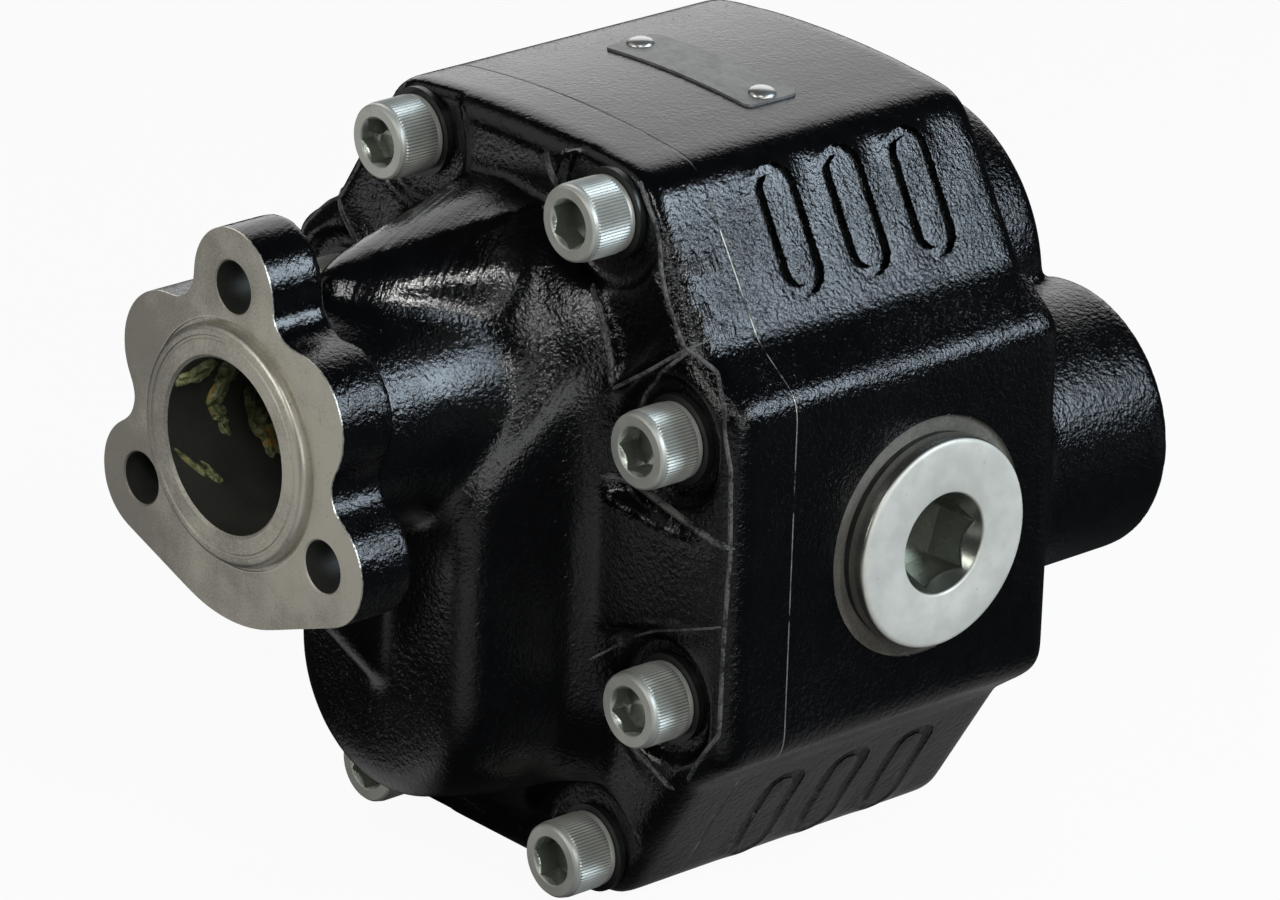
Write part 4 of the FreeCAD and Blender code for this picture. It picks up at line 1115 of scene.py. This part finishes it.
def flake(place, degrees, long, wide, slant, seed, bore):
    """A torn flake that lies on the wall of the bore."""
    random = np.random.default_rng(seed)
    turns = random.uniform(0, 2 * math.pi, 4)
    angle = degrees / 180 * math.pi
    rows = []
    for side, share in FLAKE_RINGS:
        row = []
        for k in range(FLAKE_POINTS if share else 1):
            a = 2 * math.pi * k / FLAKE_POINTS
            edge = 1 + 0.28 * math.sin(2 * a + turns[0]) + 0.2 * math.sin(3 * a + turns[1]) \
                + 0.12 * math.sin(7 * a + turns[2]) + random.uniform(-0.05, 0.05)
            around = angle + wide * MM * share * edge * math.cos(a) / bore
            fold = 0.5 + 0.5 * math.sin(3 * share * math.cos(a + turns[3]) * 3 + turns[1])
            rise = (0.35 + 1.1 * fold) * MM * math.sqrt(1 - share ** 3) + 0.12 * MM if side > 0 else -0.5 * MM
            y = (place + (long * math.sin(a) + slant * wide * math.cos(a)) * share * edge) * MM
            row.append(((bore - rise) * math.cos(around), max(y, FLAKE_FRONT), (bore - rise) * math.sin(around)))
        rows.append(row)
    root = bore + 0.5 * MM
    return shell(rows + [[(root * math.cos(angle), place * MM, root * math.sin(angle))]])


class PUMP_OT_bore_grease(bpy.types.Operator):
    """Lays flakes of old grease in the bore of the flange"""

    bl_idname = "pump.bore_grease"
    bl_label = "Bore grease"

    def execute(self, context):
        bore = context.scene.pump_castings.bore_radius
        flakes = [flake(*spec, bore) for spec in FLAKES]
        piece = new_piece("bore_grease", together(flakes, "bore_grease"), grease_finish())
        shade_by_angle(piece.data, 50)
        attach(piece, "pump_case")
        return {"FINISHED"}


class PUMP_OT_nameplate(bpy.types.Operator):
    """Finishes the bare nameplate and makes its two domed drive screws"""

    bl_idname = "pump.nameplate"
    bl_label = "Nameplate"

    def execute(self, context):
        coat(frame["nodes"]["nameplate"].data, plate_finish())
        zinc = zinc_finish("drive_screw_zinc", (0.62, 0.63, 0.61), rough=0.25)
        low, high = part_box("nameplate_screws")
        radius = node_size("nameplate_screws").y / 2
        rise, shank, foot = 1.6 * MM, 1.3 * MM, -6 * MM
        dome = [(rise * math.sin(a), radius * math.cos(a)) for a in (0.0, 0.25, 0.5, 0.75, 1.0, 1.25)]
        rings = [(foot, 0), (foot, shank), (0, shank), (0, radius * 0.96), *dome, (rise, 0)]
        centres, turns = [], []
        for x in (low.x + radius, high.x - radius):
            lean = math.asin(x / CROWN_RADIUS)
            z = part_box("nameplate")[1].z - CROWN_RADIUS * (1 - math.cos(lean)) - 0.05 * MM
            centres.append((x, (low.y + high.y) / 2, z))
            turns.append((0, lean, 0))
        piece = repeated("drive_screw_pair", lathe(rings, Z_AXIS, 48), centres, turns, zinc)
        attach(piece, "pump_case")
        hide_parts("nameplate_screws")
        return {"FINISHED"}


class PUMP_OT_inner_parts(bpy.types.Operator):
    """Finishes the gears, bushes, plates, seals and pins inside the case"""

    bl_idname = "pump.inner_parts"
    bl_label = "Inner parts"

    def execute(self, context):
        gear = steel_finish("gear_steel", (0.42, 0.42, 0.41))
        spring = steel_finish("spring_steel", (0.16, 0.16, 0.155), 0.35)
        finishes = {"_gear": gear, "_circlip": spring, "_pins": spring,
                    "_bush": steel_finish("bush_metal", (0.52, 0.36, 0.19), 0.3),
                    "_wear_plate": steel_finish("plate_alloy", (0.6, 0.6, 0.58), 0.32), "_seal": rubber_finish()}
        for node, item in frame["nodes"].items():
            for ending, material in finishes.items():
                if node.endswith(ending):
                    coat(item.data, material)
        return {"FINISHED"}


# Lamps: direction from the pump's middle, distance, width, height, radiance, colour
LAMPS = (
    ("back_right_box", (0.64, 0.45, 0.42), 1.0, 0.32, 0.42, 11.0, (0.74, 0.87, 1.0)),
    ("right_spot_box", (0.89, 0.10, 0.45), 1.0, 0.10, 0.10, 41.0, (1.0, 1.0, 0.98)),
    ("edge_box", (0.52, -0.58, 0.62), 1.0, 0.22, 0.22, 9.0, (1.0, 1.0, 1.0)),
    ("front_box", (-0.12, -0.92, 0.34), 1.1, 0.45, 0.4, 4.2, (1.0, 0.98, 0.93)),
    ("front_right_box", (0.95, -0.34, 0.12), 1.1, 0.6, 0.6, 2.0, (0.97, 0.98, 1.0)),
)
# Soft bright panels of the world: direction, angles at which they fade, level
PANELS = (
    ((-0.69, 0.62, 0.38), 21, 33, 1.45),
    ((-0.62, -0.66, 0.45), 10, 30, 0.5),
    ((-0.2, 0.62, -0.76), 25, 45, 0.15),
)
WORLD_LEVEL = 0.02
# Pools of light that the pump mirrors in the floor: place, radii at which they fade, level
POOLS = (
    ((-0.26, -0.23), 0.10, 0.22, 1.0),
    ((0.17, -0.15), 0.08, 0.22, 0.5),
    ((0.05, 0.16), 0.04, 0.10, 0.2),
    ((-0.02, 0.02), 0.01, 0.05, 0.6),
    ((-0.06, -0.17), 0.02, 0.07, 0.6),
    ((0.34, 0.62), 0.05, 0.15, 0.6),
)
FLOOR_HALF_WIDTH, FLOOR_LEVEL = 40.0, 0.94


class PUMP_OT_studio(bpy.types.Operator):
    """Sets the floor, the lamps, the world and the camera"""

    bl_idname = "pump.studio"
    bl_label = "Studio"

    def execute(self, context):
        stage = context.scene.pump_stage
        self.floor(stage)
        self.light_world(context.scene)
        middle = (CAD_BOX[0] + CAD_BOX[1]) / 2
        for name, direction, away, width, height, radiance, colour in LAMPS:
            data = bpy.data.lights.new(name, "AREA")
            data.shape = "RECTANGLE"
            data.size, data.size_y = width, height
            data.energy = radiance * math.pi * width * height
            data.color = colour
            lamp = bpy.data.objects.new(name, data)
            lamp.location = middle + Vector(direction).normalized() * away
            lamp.rotation_euler = (middle - lamp.location).to_track_quat("-Z", "Y").to_euler()
            context.scene.collection.objects.link(lamp)
        self.set_camera(context.scene, stage)
        return {"FINISHED"}

    def floor(self, stage):
        sheet = bpy.data.meshes.new("studio_floor")
        far = FLOOR_HALF_WIDTH
        sheet.from_pydata([(x * far, y * far, CAD_BOX[0].z) for x, y in ((-1, -1), (1, -1), (1, 1), (-1, 1))],
                          [], [(0, 1, 2, 3)])
        f = Finish("studio_floor")
        seen = f.node("LightPath", output="Is Camera Ray")
        matt = f.node("BsdfDiffuse", {}, {"Color": (*stage.floor, 1)})
        mirrored_ray = f.node("LightPath", output="Is Glossy Ray")
        pools = 0.0
        for (x, y), inner, outer, level in POOLS:
            away = ((f.axis("X") - x) ** 2 + (f.axis("Y") - y) ** 2).root()
            pools = away.fall(inner, outer) * level + pools
        strength = seen * FLOOR_LEVEL + mirrored_ray * pools
        glow = f.node("Emission", {}, {"Color": (1, 1, 1, 1), "Strength": strength})
        both = f.node("AddShader", {}, {0: matt, 1: glow})
        f.node("OutputMaterial", {}, {"Surface": both})
        return new_piece("studio_floor", sheet, f.material)

    def light_world(self, scene):
        scene.world = bpy.data.worlds.new("studio")
        f = Finish("studio", scene.world)
        seen = f.node("LightPath", output="Is Camera Ray")
        direction = f.node("TexCoord", output="Generated")
        panels = WORLD_LEVEL
        for axis, inner, outer, level in PANELS:
            facing = f.node("VectorMath", {"operation": "DOT_PRODUCT"},
                            {0: direction, 1: Vector(axis).normalized()}, output="Value")
            panels = panels + facing.step(math.cos(math.radians(outer)), math.cos(math.radians(inner))) * level
        back = f.node("Background", {}, {"Color": (1, 1, 1, 1), "Strength": seen + (1 - seen) * panels})
        f.node("OutputWorld", {}, {"Surface": back})

    def set_camera(self, scene, stage):
        a, e, roll = stage.camera_azimuth, stage.camera_elevation, stage.camera_roll
        right = Vector((math.cos(a), math.sin(a), 0))
        back = Vector((math.sin(a) * math.cos(e), -math.cos(a) * math.cos(e), math.sin(e)))
        up = back.cross(right)
        turned_right = right * math.cos(roll) + up * math.sin(roll)
        turned_up = up * math.cos(roll) - right * math.sin(roll)
        data = bpy.data.cameras.new("photo_view")
        data.lens = stage.lens
        data.sensor_width = 36
        data.clip_start, data.clip_end = 0.05, 30
        camera = bpy.data.objects.new("photo_view", data)
        turned = Matrix((turned_right, turned_up, back)).transposed().to_4x4()
        camera.matrix_world = Matrix.Translation(stage.camera_place) @ turned
        scene.collection.objects.link(camera)
        scene.camera = camera
        scene.view_settings.view_transform = "Standard"


class PUMP_PT_panel(bpy.types.Panel):
    """Lists the steps that dress the pump"""

    bl_idname = "PUMP_PT_panel"
    bl_label = "Hydraulic pump"
    bl_space_type = "VIEW_3D"
    bl_region_type = "UI"
    bl_category = "Pump"

    def draw(self, context):
        for name, group in SETTINGS.items():
            for key in group.__annotations__:
                self.layout.prop(getattr(context.scene, name), key)
        for step in STEPS:
            self.layout.operator(step.bl_idname)


SETTINGS = {"pump_castings": PumpCastings, "pump_fasteners": PumpFasteners, "pump_plugs": PumpPlugs,
            "pump_stage": PumpStage}
STEPS = (PUMP_OT_front_cover, PUMP_OT_pump_body, PUMP_OT_cover_screws, PUMP_OT_port_plugs, PUMP_OT_nameplate,
         PUMP_OT_bore_grease, PUMP_OT_inner_parts, PUMP_OT_studio)
CLASSES = (*SETTINGS.values(), *STEPS, PUMP_PT_panel)


def register():
    for item in CLASSES:
        bpy.utils.register_class(item)
    for name, group in SETTINGS.items():
        setattr(bpy.types.Scene, name, PointerProperty(type=group))


def unregister():
    for name in SETTINGS:
        delattr(bpy.types.Scene, name)
    for item in reversed(CLASSES):
        bpy.utils.unregister_class(item)


def main():
    register()
    for step in STEPS:
        group, name = step.bl_idname.split(".")
        getattr(getattr(bpy.ops, group), name)()


if __name__ == "__main__":
    main()
